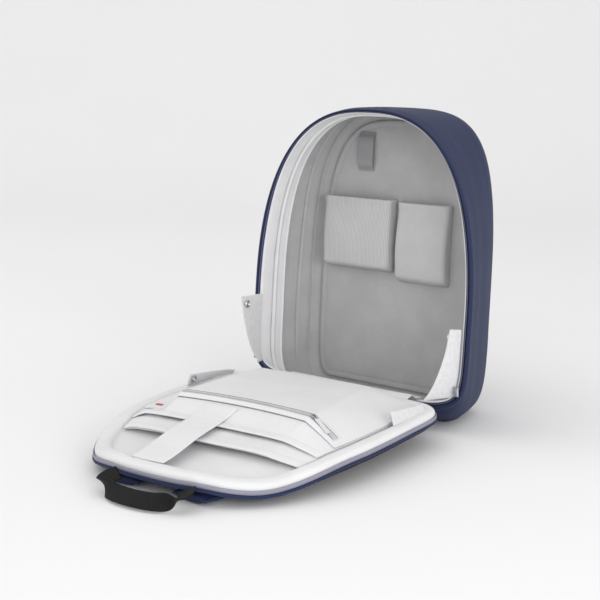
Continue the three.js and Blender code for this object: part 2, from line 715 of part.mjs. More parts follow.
// A straight piece between two points, its width level and across its length.
function bar(start, end, { width, thickness }) {
  const [a, b] = [start, end].map(point => new THREE.Vector3(...point))
  const along = b.clone().sub(a).normalize()
  const side = new THREE.Vector3(0, 1, 0)
  side.addScaledVector(along, -side.dot(along)).normalize()
  const up = new THREE.Vector3().crossVectors(along, side)
  return skin([a, b].map(here => roundedSection(width, thickness).map(([s, t]) =>
    here.clone().addScaledVector(side, s).addScaledVector(up, t).toArray())))
}

// The slider is parked where the pocket falls away, and its pull lies down the slope.
const parked = new THREE.Vector3(...zipPoint(sliderAcross, sliderLift))
const downSlope = new THREE.Vector3(...zipPoint(0.8, sliderLift)).sub(parked).normalize()
const onSlope = distance => parked.clone().addScaledVector(downSlope, distance).toArray()
const pullStart = sliderSize.length + gap
add(panelGroup, 'zip_slider', bar(onSlope(0), onSlope(sliderSize.length), sliderSize), steel)
add(panelGroup, 'zip_pull', bar(onSlope(pullStart), onSlope(pullStart + pullSize.length), pullSize), paleGrey)

// The strap that holds the devices down: sewn to the padded rim at the arch, its end rests on
// the phone pocket.
const strapCloth = 2
const strapLine = [
  { along: 0.965, over: rimAt },
  { along: 0.92, over: u => rimAt(u) + 1 },
  { along: 0.76, over: u => pocketTop(1, u) + 4 },
  { along: 0.66, over: () => pocketTop(2, 0.65 * panelLength) + 0.3 },
  { along: 0.61, over: u => pocketTop(2, u) },
  { along: 0.565, over: u => pocketTop(2, u) }]
add(panelGroup, 'laptop_strap', ribbon(
  strapLine.map(({ along, over }) => [laptopStrapCentre, -along * panelLength,
    over(along * panelLength) + clothGap + strapCloth / 2]),
  () => [1, 0, 0], laptopStrapWidth, strapCloth), paleGrey)

// A plain tag in the side seam of the phone pocket.
const tagSize = { length: 12, width: 9, thickness: 1 }
const tagU = pockets[2].mouth * panelLength - 20
const tagAcross = -0.83
const tagX = tagAcross * floorHalfWidth(tagU)
const tagInner = (tagX + tagSize.length) / floorHalfWidth(tagU)
const tagZ = pocketTop(2, tagU, tagInner) + clothGap + tagSize.thickness / 2
add(panelGroup, 'side_tag', bar([tagX, -tagU, tagZ], [tagX + tagSize.length, -tagU, tagZ], tagSize), red)

// The panel's own wings stand on the padded rim beside the pockets.
const panelWing = { from: 34, to: 128, lowRise: 6, highRise: 17, lean: 5 }
for (const [side, name] of [[-1, 'left'], [1, 'right']]) {
  const point = (rowShare, columnShare, offset) => {
    const u = panelWing.from + (panelWing.to - panelWing.from) * rowShare
    const rise = panelWing.lowRise + (panelWing.highRise - panelWing.lowRise) * rowShare
    const x = floorHalfWidth(u) + padRim * 0.5 - panelWing.lean * columnShare
    return [side * x + offset, -u, rimAt(u) + gap * 2 + rise * columnShare]
  }
  const face = offset => (rowShare, columnShare) => point(rowShare, columnShare, side * offset)
  add(panelGroup, `panel_wing_${name}`,
    sheet(6, 2, face(wingThickness / 2), face(-wingThickness / 2)), paleGrey)
  add(panelGroup, `panel_snap_${name}`, snapOn(
    (row, column) => point(row, column, 0), 0.92, 0.6, -side), steel)
}

// The fabric hinge: the lining above and the cover below, between the mouth and the panel.
const hingeHalfWidth = 112
const hingeInset = bandInset + bandThickness + gap
const mouthFoot = shellLoop(0, hingeInset)[0]
const coverFoot = shellLoop(0, 0)[0]
// A path row holds the distance from the mouth, the height and how far the row turns with the panel.
function hingeSheet(path) {
  const rows = path.length - 1
  const face = offset => (rowShare, columnShare) => {
    const [y, z, turn] = path[Math.round(rowShare * rows)]
    const x = (columnShare * 2 - 1) * hingeHalfWidth
    return [x, y + turn * x * Math.sin(panelYaw), z + offset]
  }
  return sheet(rows, 8, face(wingThickness / 2), face(-wingThickness / 2))
}
const hingeEnd = rimY - hingeGap
add(bag, 'hinge_lining', hingeSheet([
  [mouthFoot[1] + 6, mouthFoot[2] + 2, 0],
  [mouthFoot[1] - 6, mouthFoot[2] + 3.5, 0],
  [rimY - hingeGap * 0.5, mouthFoot[2] + 9, 0.5],
  [hingeEnd + clothGap, rimHeightAtHinge - 3.6, 1]]), paleGrey)
add(bag, 'hinge_cover', hingeSheet([
  [coverFoot[1] - tapeWidth - clothGap, coverFoot[2] + tapeThickness, 0],
  [rimY - hingeGap * 0.35, coverFoot[2] - 2, 0.3],
  [rimY - hingeGap * 0.65, coverFoot[2] + 1, 0.7],
  [hingeEnd + boardLip + clothGap, boardUnder(0, 0) + 2, 1]]), navy)

// The two sliders of the main zip, parked on its tape near its ends.
const mainSlider = { length: 13, width: 7, thickness: 4 }
const mainSliderShare = 0.13
for (const [side, name] of [[-1, 'left'], [1, 'right']]) {
  const height = mainSliderShare * bagHeight
  const x = side * (halfWidthAt(height) - tapeInset)
  const [, y] = shellPoint(x, -tapeWidth - clothGap - mainSlider.thickness / 2, height)
  add(shellGroup, `main_slider_${name}`, skin([0, mainSlider.length].map(rise =>
    roundedSection(mainSlider.width, mainSlider.thickness).map(([w, t]) =>
      [x + w, y + t, height + rise]))), steel)
}

export default bag
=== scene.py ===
"""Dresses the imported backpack: an upright shell standing open, and its padded back panel lying in front of it.
Lengths are worked out in millimetres, in the frame of the CAD model, and made in metres."""

import math

import bpy
import numpy as np
from mathutils import Matrix, Vector


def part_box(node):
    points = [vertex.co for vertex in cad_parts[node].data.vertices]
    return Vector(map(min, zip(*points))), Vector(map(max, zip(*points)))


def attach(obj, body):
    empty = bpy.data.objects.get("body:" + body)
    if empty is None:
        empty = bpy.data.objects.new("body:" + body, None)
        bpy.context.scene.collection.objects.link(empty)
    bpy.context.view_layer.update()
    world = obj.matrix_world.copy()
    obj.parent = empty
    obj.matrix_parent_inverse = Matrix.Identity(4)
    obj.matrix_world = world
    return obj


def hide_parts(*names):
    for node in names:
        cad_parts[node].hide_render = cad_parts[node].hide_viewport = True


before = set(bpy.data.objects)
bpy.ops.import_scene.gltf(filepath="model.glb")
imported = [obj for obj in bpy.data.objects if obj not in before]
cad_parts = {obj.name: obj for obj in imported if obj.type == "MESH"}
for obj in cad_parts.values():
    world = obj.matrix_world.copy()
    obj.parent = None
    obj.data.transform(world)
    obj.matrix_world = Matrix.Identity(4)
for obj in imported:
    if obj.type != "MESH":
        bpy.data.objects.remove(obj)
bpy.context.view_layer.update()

MM = 0.001

# Sizes of the CAD model, repeated here because this script can't read it.
BAG_HEIGHT, MOUTH_HALF, SHELL_DEPTH = 440.0, 187.0, 155.0
LEAN, WIDEST = 0.055, 0.34
RIM_Y = -SHELL_DEPTH / 2
LINING_IN, BAND_DEPTH, LINING_DEPTH = 5.5, 21.0, 108.0
PANEL_LENGTH, PANEL_HALF, HINGE_GAP = 407.0, 180.0, 39.0
PANEL_YAW = math.radians(3.4)
RIM_HINGE, RIM_ARCH, RIM_FALL, DROOP = 50.0, 35.0, 1.9, 12.0
PAD_RIM, LINING_THICK, BOARD = 22.0, 12.0, 4.0
SHEET, LAYER_GAP = 1.8, 0.75
STRAP_W, STRAP_T, STRAP_APART = 66.0, 13.3, 124.0


# Camera, light and floor

def make_camera():
    az, el, roll = math.radians(37.04), math.radians(10.44), math.radians(1.02)
    back = Vector((math.sin(az) * math.cos(el), -math.cos(az) * math.cos(el), math.sin(el)))
    right = Vector((math.cos(az), math.sin(az), 0))
    up = back.cross(right)
    across = right * math.cos(roll) + up * math.sin(roll)
    upright = up * math.cos(roll) - right * math.sin(roll)
    place = Vector((-0.0964, -0.0775, 0.156)) + back * 1.8464
    data = bpy.data.cameras.new("camera")
    data.lens, data.sensor_width, data.clip_end = 75.0, 36.0, 60.0
    cam = bpy.data.objects.new("camera", data)
    bpy.context.collection.objects.link(cam)
    cam.matrix_world = Matrix((
        (across.x, upright.x, back.x, place.x),
        (across.y, upright.y, back.y, place.y),
        (across.z, upright.z, back.z, place.z),
        (0, 0, 0, 1)))
    bpy.context.scene.camera = cam


make_camera()


# Noise and smooth interpolation

def _hash(ix, iy, iz, seed):
    h = (ix * 374761393 + iy * 668265263 + iz * 2147483647 + seed * 1274126177) & 0xFFFFFFFF
    h = ((h ^ (h >> 13)) * 1274126177) & 0xFFFFFFFF
    return ((h ^ (h >> 16)) & 0xFFFF) / 32767.5 - 1.0


def noise(p, size, seed=0):
    """Smooth value noise from -1 to 1 at points p, with lumps about size across."""
    q = np.asarray(p, float) / size + 1000.0
    i = np.floor(q).astype(np.int64)
    f = q - i
    f = f * f * (3 - 2 * f)
    out = 0.0
    for dx in (0, 1):
        for dy in (0, 1):
            for dz in (0, 1):
                w = (f[..., 0] if dx else 1 - f[..., 0]) * (f[..., 1] if dy else 1 - f[..., 1]) * (
                    f[..., 2] if dz else 1 - f[..., 2])
                out = out + w * _hash(i[..., 0] + dx, i[..., 1] + dy, i[..., 2] + dz, seed)
    return out


def fbm(p, size, octaves=3, seed=0):
    total, amount, out = 0.0, 1.0, 0.0
    for k in range(octaves):
        out = out + amount * noise(p, size / 2 ** k, seed + 17 * k)
        total += amount
        amount *= 0.5
    return out / total


def smooth(x, low, high):
    t = np.clip((np.asarray(x, float) - low) / (high - low), 0, 1)
    return t * t * (3 - 2 * t)


def bump(x, at, width):
    return np.exp(-((np.asarray(x, float) - at) / width) ** 2)


def pchip(xs, ys):
    """A smooth curve through a table that doesn't overshoot it. ys may have several columns."""
    xs, ys = np.asarray(xs, float), np.asarray(ys, float)
    flat = ys.ndim == 1
    ys = ys.reshape(len(xs), -1)
    h = np.diff(xs)[:, None]
    d = np.diff(ys, axis=0) / h
    m = np.zeros_like(ys)
    w1, w2 = 2 * h[1:] + h[:-1], h[1:] + 2 * h[:-1]
    same = d[1:] * d[:-1] > 0
    with np.errstate(divide="ignore", invalid="ignore"):
        mean = (w1 + w2) / (w1 / d[:-1] + w2 / d[1:])
    m[1:-1] = np.where(same, mean, 0)
    m[0], m[-1] = d[0], d[-1]

    def at(x):
        x = np.asarray(x, float)
        k = np.clip(np.searchsorted(xs, x) - 1, 0, len(xs) - 2)
        hk = (xs[k + 1] - xs[k])[..., None]
        t = ((x - xs[k])[..., None]) / hk
        t = np.clip(t, 0, 1)
        out = (ys[k] * (2 * t ** 3 - 3 * t ** 2 + 1) + ys[k + 1] * (3 * t ** 2 - 2 * t ** 3)
               + m[k] * hk * (t ** 3 - 2 * t ** 2 + t) + m[k + 1] * hk * (t ** 3 - t ** 2))
        return out[..., 0] if flat else out
    return at


def through(points, n):
    """n points on a smooth curve through the given ones, evenly apart."""
    pts = np.asarray(points, float)
    gaps = np.maximum(np.linalg.norm(np.diff(pts, axis=0), axis=1) ** 0.5, 1e-6)
    at = np.r_[0, np.cumsum(gaps)]
    ext = np.vstack([2 * pts[0] - pts[1], pts, 2 * pts[-1] - pts[-2]])
    t = np.r_[-gaps[0], at, at[-1] + gaps[-1]]
    dense = []
    for k in range(1, len(ext) - 2):
        for x in np.linspace(t[k], t[k + 1], 24, endpoint=False):
            a1 = ((t[k] - x) * ext[k - 1] + (x - t[k - 1]) * ext[k]) / (t[k] - t[k - 1])
            a2 = ((t[k + 1] - x) * ext[k] + (x - t[k]) * ext[k + 1]) / (t[k + 1] - t[k])
            a3 = ((t[k + 2] - x) * ext[k + 1] + (x - t[k + 1]) * ext[k + 2]) / (t[k + 2] - t[k + 1])
            b1 = ((t[k + 1] - x) * a1 + (x - t[k - 1]) * a2) / (t[k + 1] - t[k - 1])
            b2 = ((t[k + 2] - x) * a2 + (x - t[k]) * a3) / (t[k + 2] - t[k])
            dense.append(((t[k + 1] - x) * b1 + (x - t[k]) * b2) / (t[k + 1] - t[k]))
    dense.append(pts[-1])
    return evenly(np.array(dense), n)


def evenly(pts, n):
    s = np.r_[0, np.cumsum(np.linalg.norm(np.diff(pts, axis=0), axis=1))]
    want = np.linspace(0, s[-1], n)
    return np.stack([np.interp(want, s, pts[:, k]) for k in range(pts.shape[1])], axis=1)


# Meshes

def length_along(points, axis):
    d = np.linalg.norm(np.diff(points, axis=axis), axis=-1)
    zero = np.zeros_like(np.take(d, [0], axis=axis))
    return np.concatenate([zero, np.cumsum(d, axis=axis)], axis=axis)


def facing_of(P, toward, wrap):
    """Unit normals of a grid of points, on the side that toward points to."""
    du = np.roll(P, -1, 1) - np.roll(P, 1, 1) if wrap else np.gradient(P, axis=1)
    n = np.cross(du, np.gradient(P, axis=0))
    n /= np.maximum(np.linalg.norm(n, axis=-1, keepdims=True), 1e-9)
    toward = np.broadcast_to(np.asarray(toward, float), P.shape)
    if (n * toward).sum() < 0:
        n = -n
    return n


def build(name, verts, faces, uvs, material, slot_of=None, materials=()):
    """verts in mm, faces as a list of index tuples, uvs one pair a face corner, in metres."""
    mesh = bpy.data.meshes.new(name)
    mesh.from_pydata((np.asarray(verts) * MM).tolist(), [], faces)
    layer = mesh.uv_layers.new(name="cloth")
    layer.data.foreach_set("uv", np.asarray(uvs, np.float32).ravel())
    mesh.polygons.foreach_set("use_smooth", [True] * len(mesh.polygons))
    for m in [material, *materials]:
        mesh.materials.append(m)
    if slot_of is not None:
        mesh.polygons.foreach_set("material_index", np.asarray(slot_of, np.int32))
    mesh.validate()
    mesh.update()
    obj = bpy.data.objects.new(name, mesh)
    bpy.context.collection.objects.link(obj)
    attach(obj, "root")
    return obj


def grid_faces(rows, cols, wrap, base, flip):
    span = cols if wrap else cols - 1
    r, c = np.meshgrid(np.arange(rows - 1), np.arange(span), indexing="ij")
    nxt = (c + 1) % cols
    quads = np.stack([r * cols + c, r * cols + nxt, (r + 1) * cols + nxt, (r + 1) * cols + c], -1).reshape(-1, 4)
    wide = cols + 1 if wrap else cols
    uvq = np.stack([r * wide + c, r * wide + c + 1, (r + 1) * wide + c + 1, (r + 1) * wide + c], -1).reshape(-1, 4)
    if flip:
        quads, uvq = quads[:, ::-1], uvq[:, ::-1]
    return quads + base, uvq


def uv_grid(P, wrap):
    Q = np.concatenate([P, P[:, :1]], axis=1) if wrap else P
    u = length_along(Q, 1)
    mid = u[len(u) // 2] if not wrap else u.mean(0)
    v = length_along(Q, 0)
    return np.stack([u * 0.5 + mid[None] * 0.5, v], -1) * MM


def cloth(name, P, thick, toward, material, wrap=False, seat=0.5, hem=0.45):
    """A sheet of cloth over the grid P of points, its face on the side that toward points to, with rounded cut edges.
    seat is the share of the thickness that lies in front of P."""
    P = np.asarray(P, float)
    rows, cols = P.shape[:2]
    n = facing_of(P, toward, wrap)
    thick = np.broadcast_to(np.asarray(thick, float), P.shape[:2])[..., None]
    front, rear = P + n * thick * seat, P - n * thick * (1 - seat)
    count = rows * cols
    uv = uv_grid(P, wrap)
    du = np.roll(P, -1, 1) - P if wrap else np.gradient(P, axis=1)
    clockwise = (np.cross(du, np.gradient(P, axis=0)) * n).sum() < 0
    fq, fuv = grid_faces(rows, cols, wrap, 0, clockwise)
    rq, ruv = grid_faces(rows, cols, wrap, count, not clockwise)
    faces, uvs = [fq, rq], [uv.reshape(-1, 2)[fuv], uv.reshape(-1, 2)[ruv]]
    extra = []
    middle = (front + rear) / 2
    if wrap:
        pieces = [(np.arange(cols), -1, True), ((rows - 1) * cols + np.arange(cols), 1, True)]
    else:
        ring = np.r_[np.arange(cols), np.arange(1, rows) * cols + cols - 1,
                     (rows - 1) * cols + np.arange(cols - 2, -1, -1), np.arange(rows - 2, 0, -1) * cols]
        pieces = [(ring, 0, True)]
    flat_middle = middle.reshape(-1, 3)
    dv = np.gradient(P, axis=0).reshape(-1, 3)
    dh = (np.gradient(P, axis=1)).reshape(-1, 3)
    for ring, sign, closed in pieces:
        if sign:
            out = dv[ring] * sign
        else:
            r, c = ring // cols, ring % cols
            out = (np.where(r == rows - 1, 1, np.where(r == 0, -1, 0))[:, None] * dv[ring]
                   / np.maximum(np.linalg.norm(dv[ring], axis=1, keepdims=True), 1e-9)
                   + np.where(c == cols - 1, 1, np.where(c == 0, -1, 0))[:, None] * dh[ring]
                   / np.maximum(np.linalg.norm(dh[ring], axis=1, keepdims=True), 1e-9))
        out = out / np.maximum(np.linalg.norm(out, axis=1, keepdims=True), 1e-9)
        edge = flat_middle[ring] + out * thick.reshape(-1, 1)[ring] * hem
        start = 2 * count + sum(len(e) for e in extra)
        extra.append(edge)
        k = np.arange(len(ring))
        nk = (k + 1) % len(ring)
        a, b = ring[k], ring[nk]
        e0, e1 = start + k, start + nk
        strip1 = np.stack([a, e0, e1, b], -1)
        strip2 = np.stack([e0, a + count, b + count, e1], -1)
        turn = (sign < 0) if wrap else False
        if clockwise != turn:
            strip1, strip2 = strip1[:, ::-1], strip2[:, ::-1]
        wide = cols + 1 if wrap else cols
        uva = uv.reshape(-1, 2)[(a // cols) * wide + a % cols]
        for strip in (strip1, strip2):
            faces.append(strip)
            uvs.append(np.repeat(uva[:, None], 4, axis=1))
    verts = np.vstack([front.reshape(-1, 3), rear.reshape(-1, 3), *extra])
    obj = build(name, verts, np.vstack(faces).tolist(), np.concatenate([u.reshape(-1, 2) for u in uvs]), material)
    side = length_along(P, 0)[-1].mean() * MM
    across = length_along(np.concatenate([P, P[:, :1]], 1) if wrap else P, 1)[:, -1].mean() * MM
    quad = np.linalg.norm(np.cross(np.diff(P[:, :-1], axis=0), np.diff(P[:-1], axis=1)), axis=-1)
    obj["flat"] = [max(across, 0.01), max(side, 0.01)]
    obj["area"] = float(quad.sum()) * MM * MM
    return obj


def tube(name, loops, material, capped=True, slot_of_row=None, materials=()):
    """A closed skin over loops of equal length. Capped ends are drawn to the middle of their loop."""
    L = np.asarray(loops, float)
    rows, cols = L.shape[:2]
    uv = uv_grid(L, True)
    quads, uvq = grid_faces(rows, cols, True, 0, False)
    verts = L.reshape(-1, 3)
    faces = [tuple(q) for q in quads.tolist()]
    uvs = [uv.reshape(-1, 2)[uvq].reshape(-1, 2)]
    if capped:
        k = np.arange(cols)
        nk = (k + 1) % cols
        for row, flip in ((0, True), (rows - 1, False)):
            if capped == "last" and flip:
                continue
            a, b = (nk, k) if flip else (k, nk)
            cap = np.stack([row * cols + a, row * cols + b, np.full(cols, len(verts))], -1)
            verts = np.vstack([verts, L[row].mean(0)])
            faces += [tuple(q) for q in cap.tolist()]
            uvs.append(np.repeat(uv.reshape(-1, 2)[k], 3, axis=0))
    a = verts[quads[:, 0]]
    vol = (a * np.cross(verts[quads[:, 1]], verts[quads[:, 2]])).sum()
    slots = None
    if slot_of_row is not None:
        slots = np.repeat(np.asarray(slot_of_row)[: rows - 1], cols)
        slots = np.r_[slots, np.zeros(len(faces) - len(slots), int)]
    obj = build(name, verts, faces, np.concatenate(uvs), material, slots, materials)
    if vol < 0:
        obj.data.flip_normals()
    return obj


def ring_section(w, t, n=20, power=3.2, crown=0.0):
    """The section of a strap or band: a superellipse w wide and t thick."""
    a = np.linspace(0, 2 * math.pi, n, endpoint=False)
    c, s = np.cos(a), np.sin(a)
    x = w / 2 * np.sign(c) * np.abs(c) ** (2 / power)
    y = t / 2 * np.sign(s) * np.abs(s) ** (2 / power)
    y = y * (1 + crown * (1 - (2 * x / w) ** 2))
    return np.stack([x, y], -1)


def frames_along(pts, across):
    along = np.gradient(pts, axis=0)
    along /= np.maximum(np.linalg.norm(along, axis=1, keepdims=True), 1e-9)
    side = np.asarray([across(s) for s in np.linspace(0, 1, len(pts))], float)
    side -= along * (side * along).sum(1, keepdims=True)
    side /= np.linalg.norm(side, axis=1, keepdims=True)
    return along, side, np.cross(along, side)


def strap(name, points, across, width, thick, material, n=80, section=28, power=4.0, shape=None):
    pts = through(points, n)
    along, side, up = frames_along(pts, across)
    loops = []
    for k, s in enumerate(np.linspace(0, 1, n)):
        w = width(s) if callable(width) else width
        t = thick(s) if callable(thick) else thick
        sec = ring_section(w, t, section, power)
        if shape is not None:
            sec = shape(s, sec, w, t)
        loops.append(pts[k] + sec[:, :1] * side[k] + sec[:, 1:] * up[k])
    obj = tube(name, loops, material)
    obj["flat"] = [float(width(0.5) if callable(width) else width) * MM,
                   float(np.linalg.norm(np.diff(pts, axis=0), axis=1).sum()) * MM]
    return obj


def stitches(name, points, normals, material, pitch=4.2, length=3.0, radius=0.42, lift=0.15):
    """A row of sewn stitches along a line, each a small raised thread."""
    pts = np.asarray(points, float)
    s = np.r_[0, np.cumsum(np.linalg.norm(np.diff(pts, axis=0), axis=1))]
    count = int(s[-1] // pitch)
    starts = (np.arange(count) + 0.5) * s[-1] / max(count, 1)
    nrm = np.asarray(normals, float)
    if nrm.ndim == 1:
        nrm = np.broadcast_to(nrm, pts.shape)
    verts, faces = [], []
    ring = 5
    for at in starts:
        base = len(verts)
        for off, r, h in ((-0.5, 0.35, -0.35), (-0.3, 1.0, 0.25), (0.3, 1.0, 0.25), (0.5, 0.35, -0.35)):
            p = np.array([np.interp(at + off * length, s, pts[:, k]) for k in range(3)])
            q = np.array([np.interp(at + off * length + 0.2, s, pts[:, k]) for k in range(3)])
            t = q - p
            t = t / max(np.linalg.norm(t), 1e-9) if np.linalg.norm(t) > 1e-6 else np.array([1.0, 0, 0])
            n = np.array([np.interp(at, s, nrm[:, k]) for k in range(3)])
            n = n - t * (n @ t)
            n /= max(np.linalg.norm(n), 1e-9)
            b = np.cross(t, n)
            for k in range(ring):
                a = 2 * math.pi * k / ring
                verts.append(p + n * (lift + h * radius) + (b * math.cos(a) + n * math.sin(a)) * radius * r)
        for row in range(3):
            for k in range(ring):
                nk = (k + 1) % ring
                faces.append((base + row * ring + k, base + row * ring + nk,
                              base + (row + 1) * ring + nk, base + (row + 1) * ring + k))
        faces.append(tuple(base + k for k in range(ring - 1, -1, -1)))
        faces.append(tuple(base + 3 * ring + k for k in range(ring)))
    corners = sum(len(f) for f in faces)
    return build(name, verts, faces, np.zeros((corners, 2)), material)


# Materials

def nodes_of(name):
    m = bpy.data.materials.new(name)
    m.use_nodes = True
    t = m.node_tree
    t.nodes.clear()
    out = t.nodes.new("ShaderNodeOutputMaterial")
    sh = t.nodes.new("ShaderNodeBsdfPrincipled")
    t.links.new(sh.outputs[0], out.inputs[0])
    return m, t, sh


def srgb(r, g, b):
    return tuple((c / 255 / 12.92) if c / 255 <= 0.04045 else ((c / 255 + 0.055) / 1.055) ** 2.4 for c in (r, g, b))


class Net:
    """A short way to write shader nodes."""

    def __init__(self, tree):
        self.t = tree

    def node(self, kind, inputs=None, **props):
        n = self.t.nodes.new(kind)
        for k, v in props.items():
            setattr(n, k, v)
        for k, v in (inputs or {}).items():
            self.put(n.inputs[k], v)
        return n

    def put(self, socket, v):
        if isinstance(v, bpy.types.NodeSocket):
            self.t.links.new(v, socket)
        else:
            socket.default_value = v

    def math(self, op, a, b=0.0, clamp=False):
        n = self.node("ShaderNodeMath", operation=op, use_clamp=clamp)
        self.put(n.inputs[0], a)
        self.put(n.inputs[1], b)
        return n.outputs[0]

    def mix(self, share, a, b):
        n = self.node("ShaderNodeMix", data_type="RGBA")
        self.put(n.inputs[0], share)
        self.put(n.inputs[6], a)
        self.put(n.inputs[7], b)
        return n.outputs[2]

    def ramp(self, v, low, high):
        n = self.node("ShaderNodeMapRange", interpolation_type="SMOOTHSTEP")
        self.put(n.inputs[0], v)
        n.inputs[1].default_value, n.inputs[2].default_value = low, high
        return n.outputs[0]


def fabric(name, colour, dark=0.86, rough=0.85, weave=1.1, depth=0.35, mottle=0.10, sheen=0.25, twill=False,
           fuzz=0.0, rib=None, light=1.06):
    """A woven or knitted cloth. weave is the thread pitch in mm along the cloth's own UV, depth its relief in mm."""
    m, t, sh = nodes_of(name)
    net = Net(t)
    uv = net.node("ShaderNodeUVMap", uv_map="cloth").outputs[0]
    split = net.node("ShaderNodeSeparateXYZ", {0: uv})
    u, v = split.outputs[0], split.outputs[1]
    place = net.node("ShaderNodeTexCoord").outputs["Object"]
    k = 2 * math.pi / (weave * MM)
    wobble = net.node("ShaderNodeTexNoise", {"Vector": place, "Scale": 900.0, "Detail": 2.0}).outputs[0]
    uu = net.math("ADD", net.math("MULTIPLY", u, k), net.math("MULTIPLY", wobble, 0.9))
    vv = net.math("ADD", net.math("MULTIPLY", v, k), net.math("MULTIPLY", wobble, 0.9))
    if twill:
        diag = net.math("ADD", uu, vv)
        warp = net.math("SINE", diag)
        weft = net.math("SINE", net.math("MULTIPLY", uu, 2.0))
        height = net.math("ADD", net.math("MULTIPLY", warp, 0.35), net.math("MULTIPLY", weft, 0.15))
    elif rib:
        kr = 2 * math.pi / (rib * MM)
        height = net.math("ADD", net.math("MULTIPLY", net.math("SINE", net.math("MULTIPLY", u, kr)), 0.38),
                          net.math("MULTIPLY", net.math("SINE", vv), 0.12))
    else:
        height = net.math("MULTIPLY", net.math("MULTIPLY", net.math("SINE", uu), net.math("SINE", vv)), 0.5)
    height = net.math("ADD", height, 0.5)
    fine = net.node("ShaderNodeTexNoise",
                    {"Vector": place, "Scale": 420.0, "Detail": 5.0, "Roughness": 0.6}).outputs[0]
    broad = net.node("ShaderNodeTexNoise",
                     {"Vector": place, "Scale": 26.0, "Detail": 4.0, "Roughness": 0.55}).outputs[0]
    tone = net.math("ADD", net.math("MULTIPLY", broad, 0.6), net.math("MULTIPLY", fine, 0.4))
    tone = net.ramp(tone, 0.36, 0.64)
    r, g, b = colour
    base = net.mix(tone, (r * (1 - mottle), g * (1 - mottle), b * (1 - mottle), 1),
                   (r * (1 + mottle), g * (1 + mottle), b * (1 + mottle), 1))
    both = net.node("ShaderNodeMix", data_type="RGBA", blend_type="MULTIPLY")
    both.inputs[0].default_value = 1.0
    net.put(both.inputs[6], base)
    scaled = net.mix(height, (dark, dark, dark, 1), (light, light, light, 1))
    net.put(both.inputs[7], scaled)
    net.put(sh.inputs["Base Color"], both.outputs[2])
    rn = net.node("ShaderNodeMapRange")
    net.put(rn.inputs[0], fine)
    rn.inputs[3].default_value, rn.inputs[4].default_value = max(rough - 0.08, 0), min(rough + 0.08, 1)
    net.put(sh.inputs["Roughness"], rn.outputs[0])
    relief = net.math("MULTIPLY", height, depth)
    if fuzz:
        relief = net.math("ADD", relief, net.math("MULTIPLY", fine, fuzz))
    bumpn = net.node("ShaderNodeBump", {"Height": relief, "Strength": 0.55, "Distance": MM})
    net.put(sh.inputs["Normal"], bumpn.outputs[0])
    sh.inputs["Sheen Weight"].default_value = sheen
    sh.inputs["Sheen Roughness"].default_value = 0.5
    sh.inputs["Specular IOR Level"].default_value = 0.25
    return m


def felt(name, colour, rough=0.95, mottle=0.16):
    m, t, sh = nodes_of(name)
    net = Net(t)
    place = net.node("ShaderNodeTexCoord").outputs["Object"]
    fibre = net.node("ShaderNodeTexNoise", {"Vector": place, "Scale": 330.0, "Detail": 6.0, "Roughness": 0.7,
                                            "Distortion": 1.2}).outputs[0]
    stretch = net.node("ShaderNodeMapping", {"Vector": place, "Scale": (1.0, 1.0, 0.28)}).outputs[0]
    lines = net.node("ShaderNodeTexNoise", {"Vector": stretch, "Scale": 520.0, "Detail": 3.0}).outputs[0]
    tone = net.ramp(net.math("ADD", net.math("MULTIPLY", fibre, 0.55), net.math("MULTIPLY", lines, 0.45)), 0.38,
                    0.62)
    r, g, b = colour
    base = net.mix(tone, (r * (1 - mottle), g * (1 - mottle), b * (1 - mottle), 1),
                   (r * (1 + mottle), g * (1 + mottle), b * (1 + mottle), 1))
    net.put(sh.inputs["Base Color"], base)
    net.put(sh.inputs["Roughness"], net.math("ADD", net.math("MULTIPLY", fibre, 0.08), rough - 0.06))
    bumpn = net.node("ShaderNodeBump", {"Height": net.math("ADD", fibre, net.math("MULTIPLY", lines, 0.5)),
                                        "Strength": 0.5, "Distance": 0.6 * MM})
    net.put(sh.inputs["Normal"], bumpn.outputs[0])
    sh.inputs["Sheen Weight"].default_value = 0.35
    sh.inputs["Sheen Roughness"].default_value = 0.6
    sh.inputs["Specular IOR Level"].default_value = 0.15
    return m


def plastic(name, colour, rough=0.45, grain=0.25):
    m, t, sh = nodes_of(name)
    net = Net(t)
    place = net.node("ShaderNodeTexCoord").outputs["Object"]
    n1 = net.node("ShaderNodeTexNoise", {"Vector": place, "Scale": 700.0, "Detail": 4.0}).outputs[0]
    r, g, b = colour
    net.put(sh.inputs["Base Color"], net.mix(net.ramp(n1, 0.4, 0.6), (r * 0.92, g * 0.92, b * 0.92, 1),
                                             (r * 1.08, g * 1.08, b * 1.08, 1)))
    net.put(sh.inputs["Roughness"], net.math("ADD", net.math("MULTIPLY", n1, 0.14), rough - 0.07))
    bumpn = net.node("ShaderNodeBump", {"Height": n1, "Strength": grain, "Distance": 0.15 * MM})
    net.put(sh.inputs["Normal"], bumpn.outputs[0])
    return m


def metal(name, colour, rough=0.32):
    m, t, sh = nodes_of(name)
    net = Net(t)
    place = net.node("ShaderNodeTexCoord").outputs["Object"]
    n1 = net.node("ShaderNodeTexNoise", {"Vector": place, "Scale": 900.0, "Detail": 5.0}).outputs[0]
    n2 = net.node("ShaderNodeTexNoise", {"Vector": place, "Scale": 130.0, "Detail": 3.0}).outputs[0]
    r, g, b = colour
    net.put(sh.inputs["Base Color"], net.mix(net.ramp(n2, 0.35, 0.65), (r * 0.85, g * 0.85, b * 0.85, 1),
                                             (min(r * 1.1, 1), min(g * 1.1, 1), min(b * 1.1, 1), 1)))
    net.put(sh.inputs["Roughness"], net.math("ADD", net.math("MULTIPLY", n1, 0.2), rough - 0.1))
    sh.inputs["Metallic"].default_value = 0.9
    bumpn = net.node("ShaderNodeBump", {"Height": n1, "Strength": 0.15, "Distance": 0.1 * MM})
    net.put(sh.inputs["Normal"], bumpn.outputs[0])
    return m


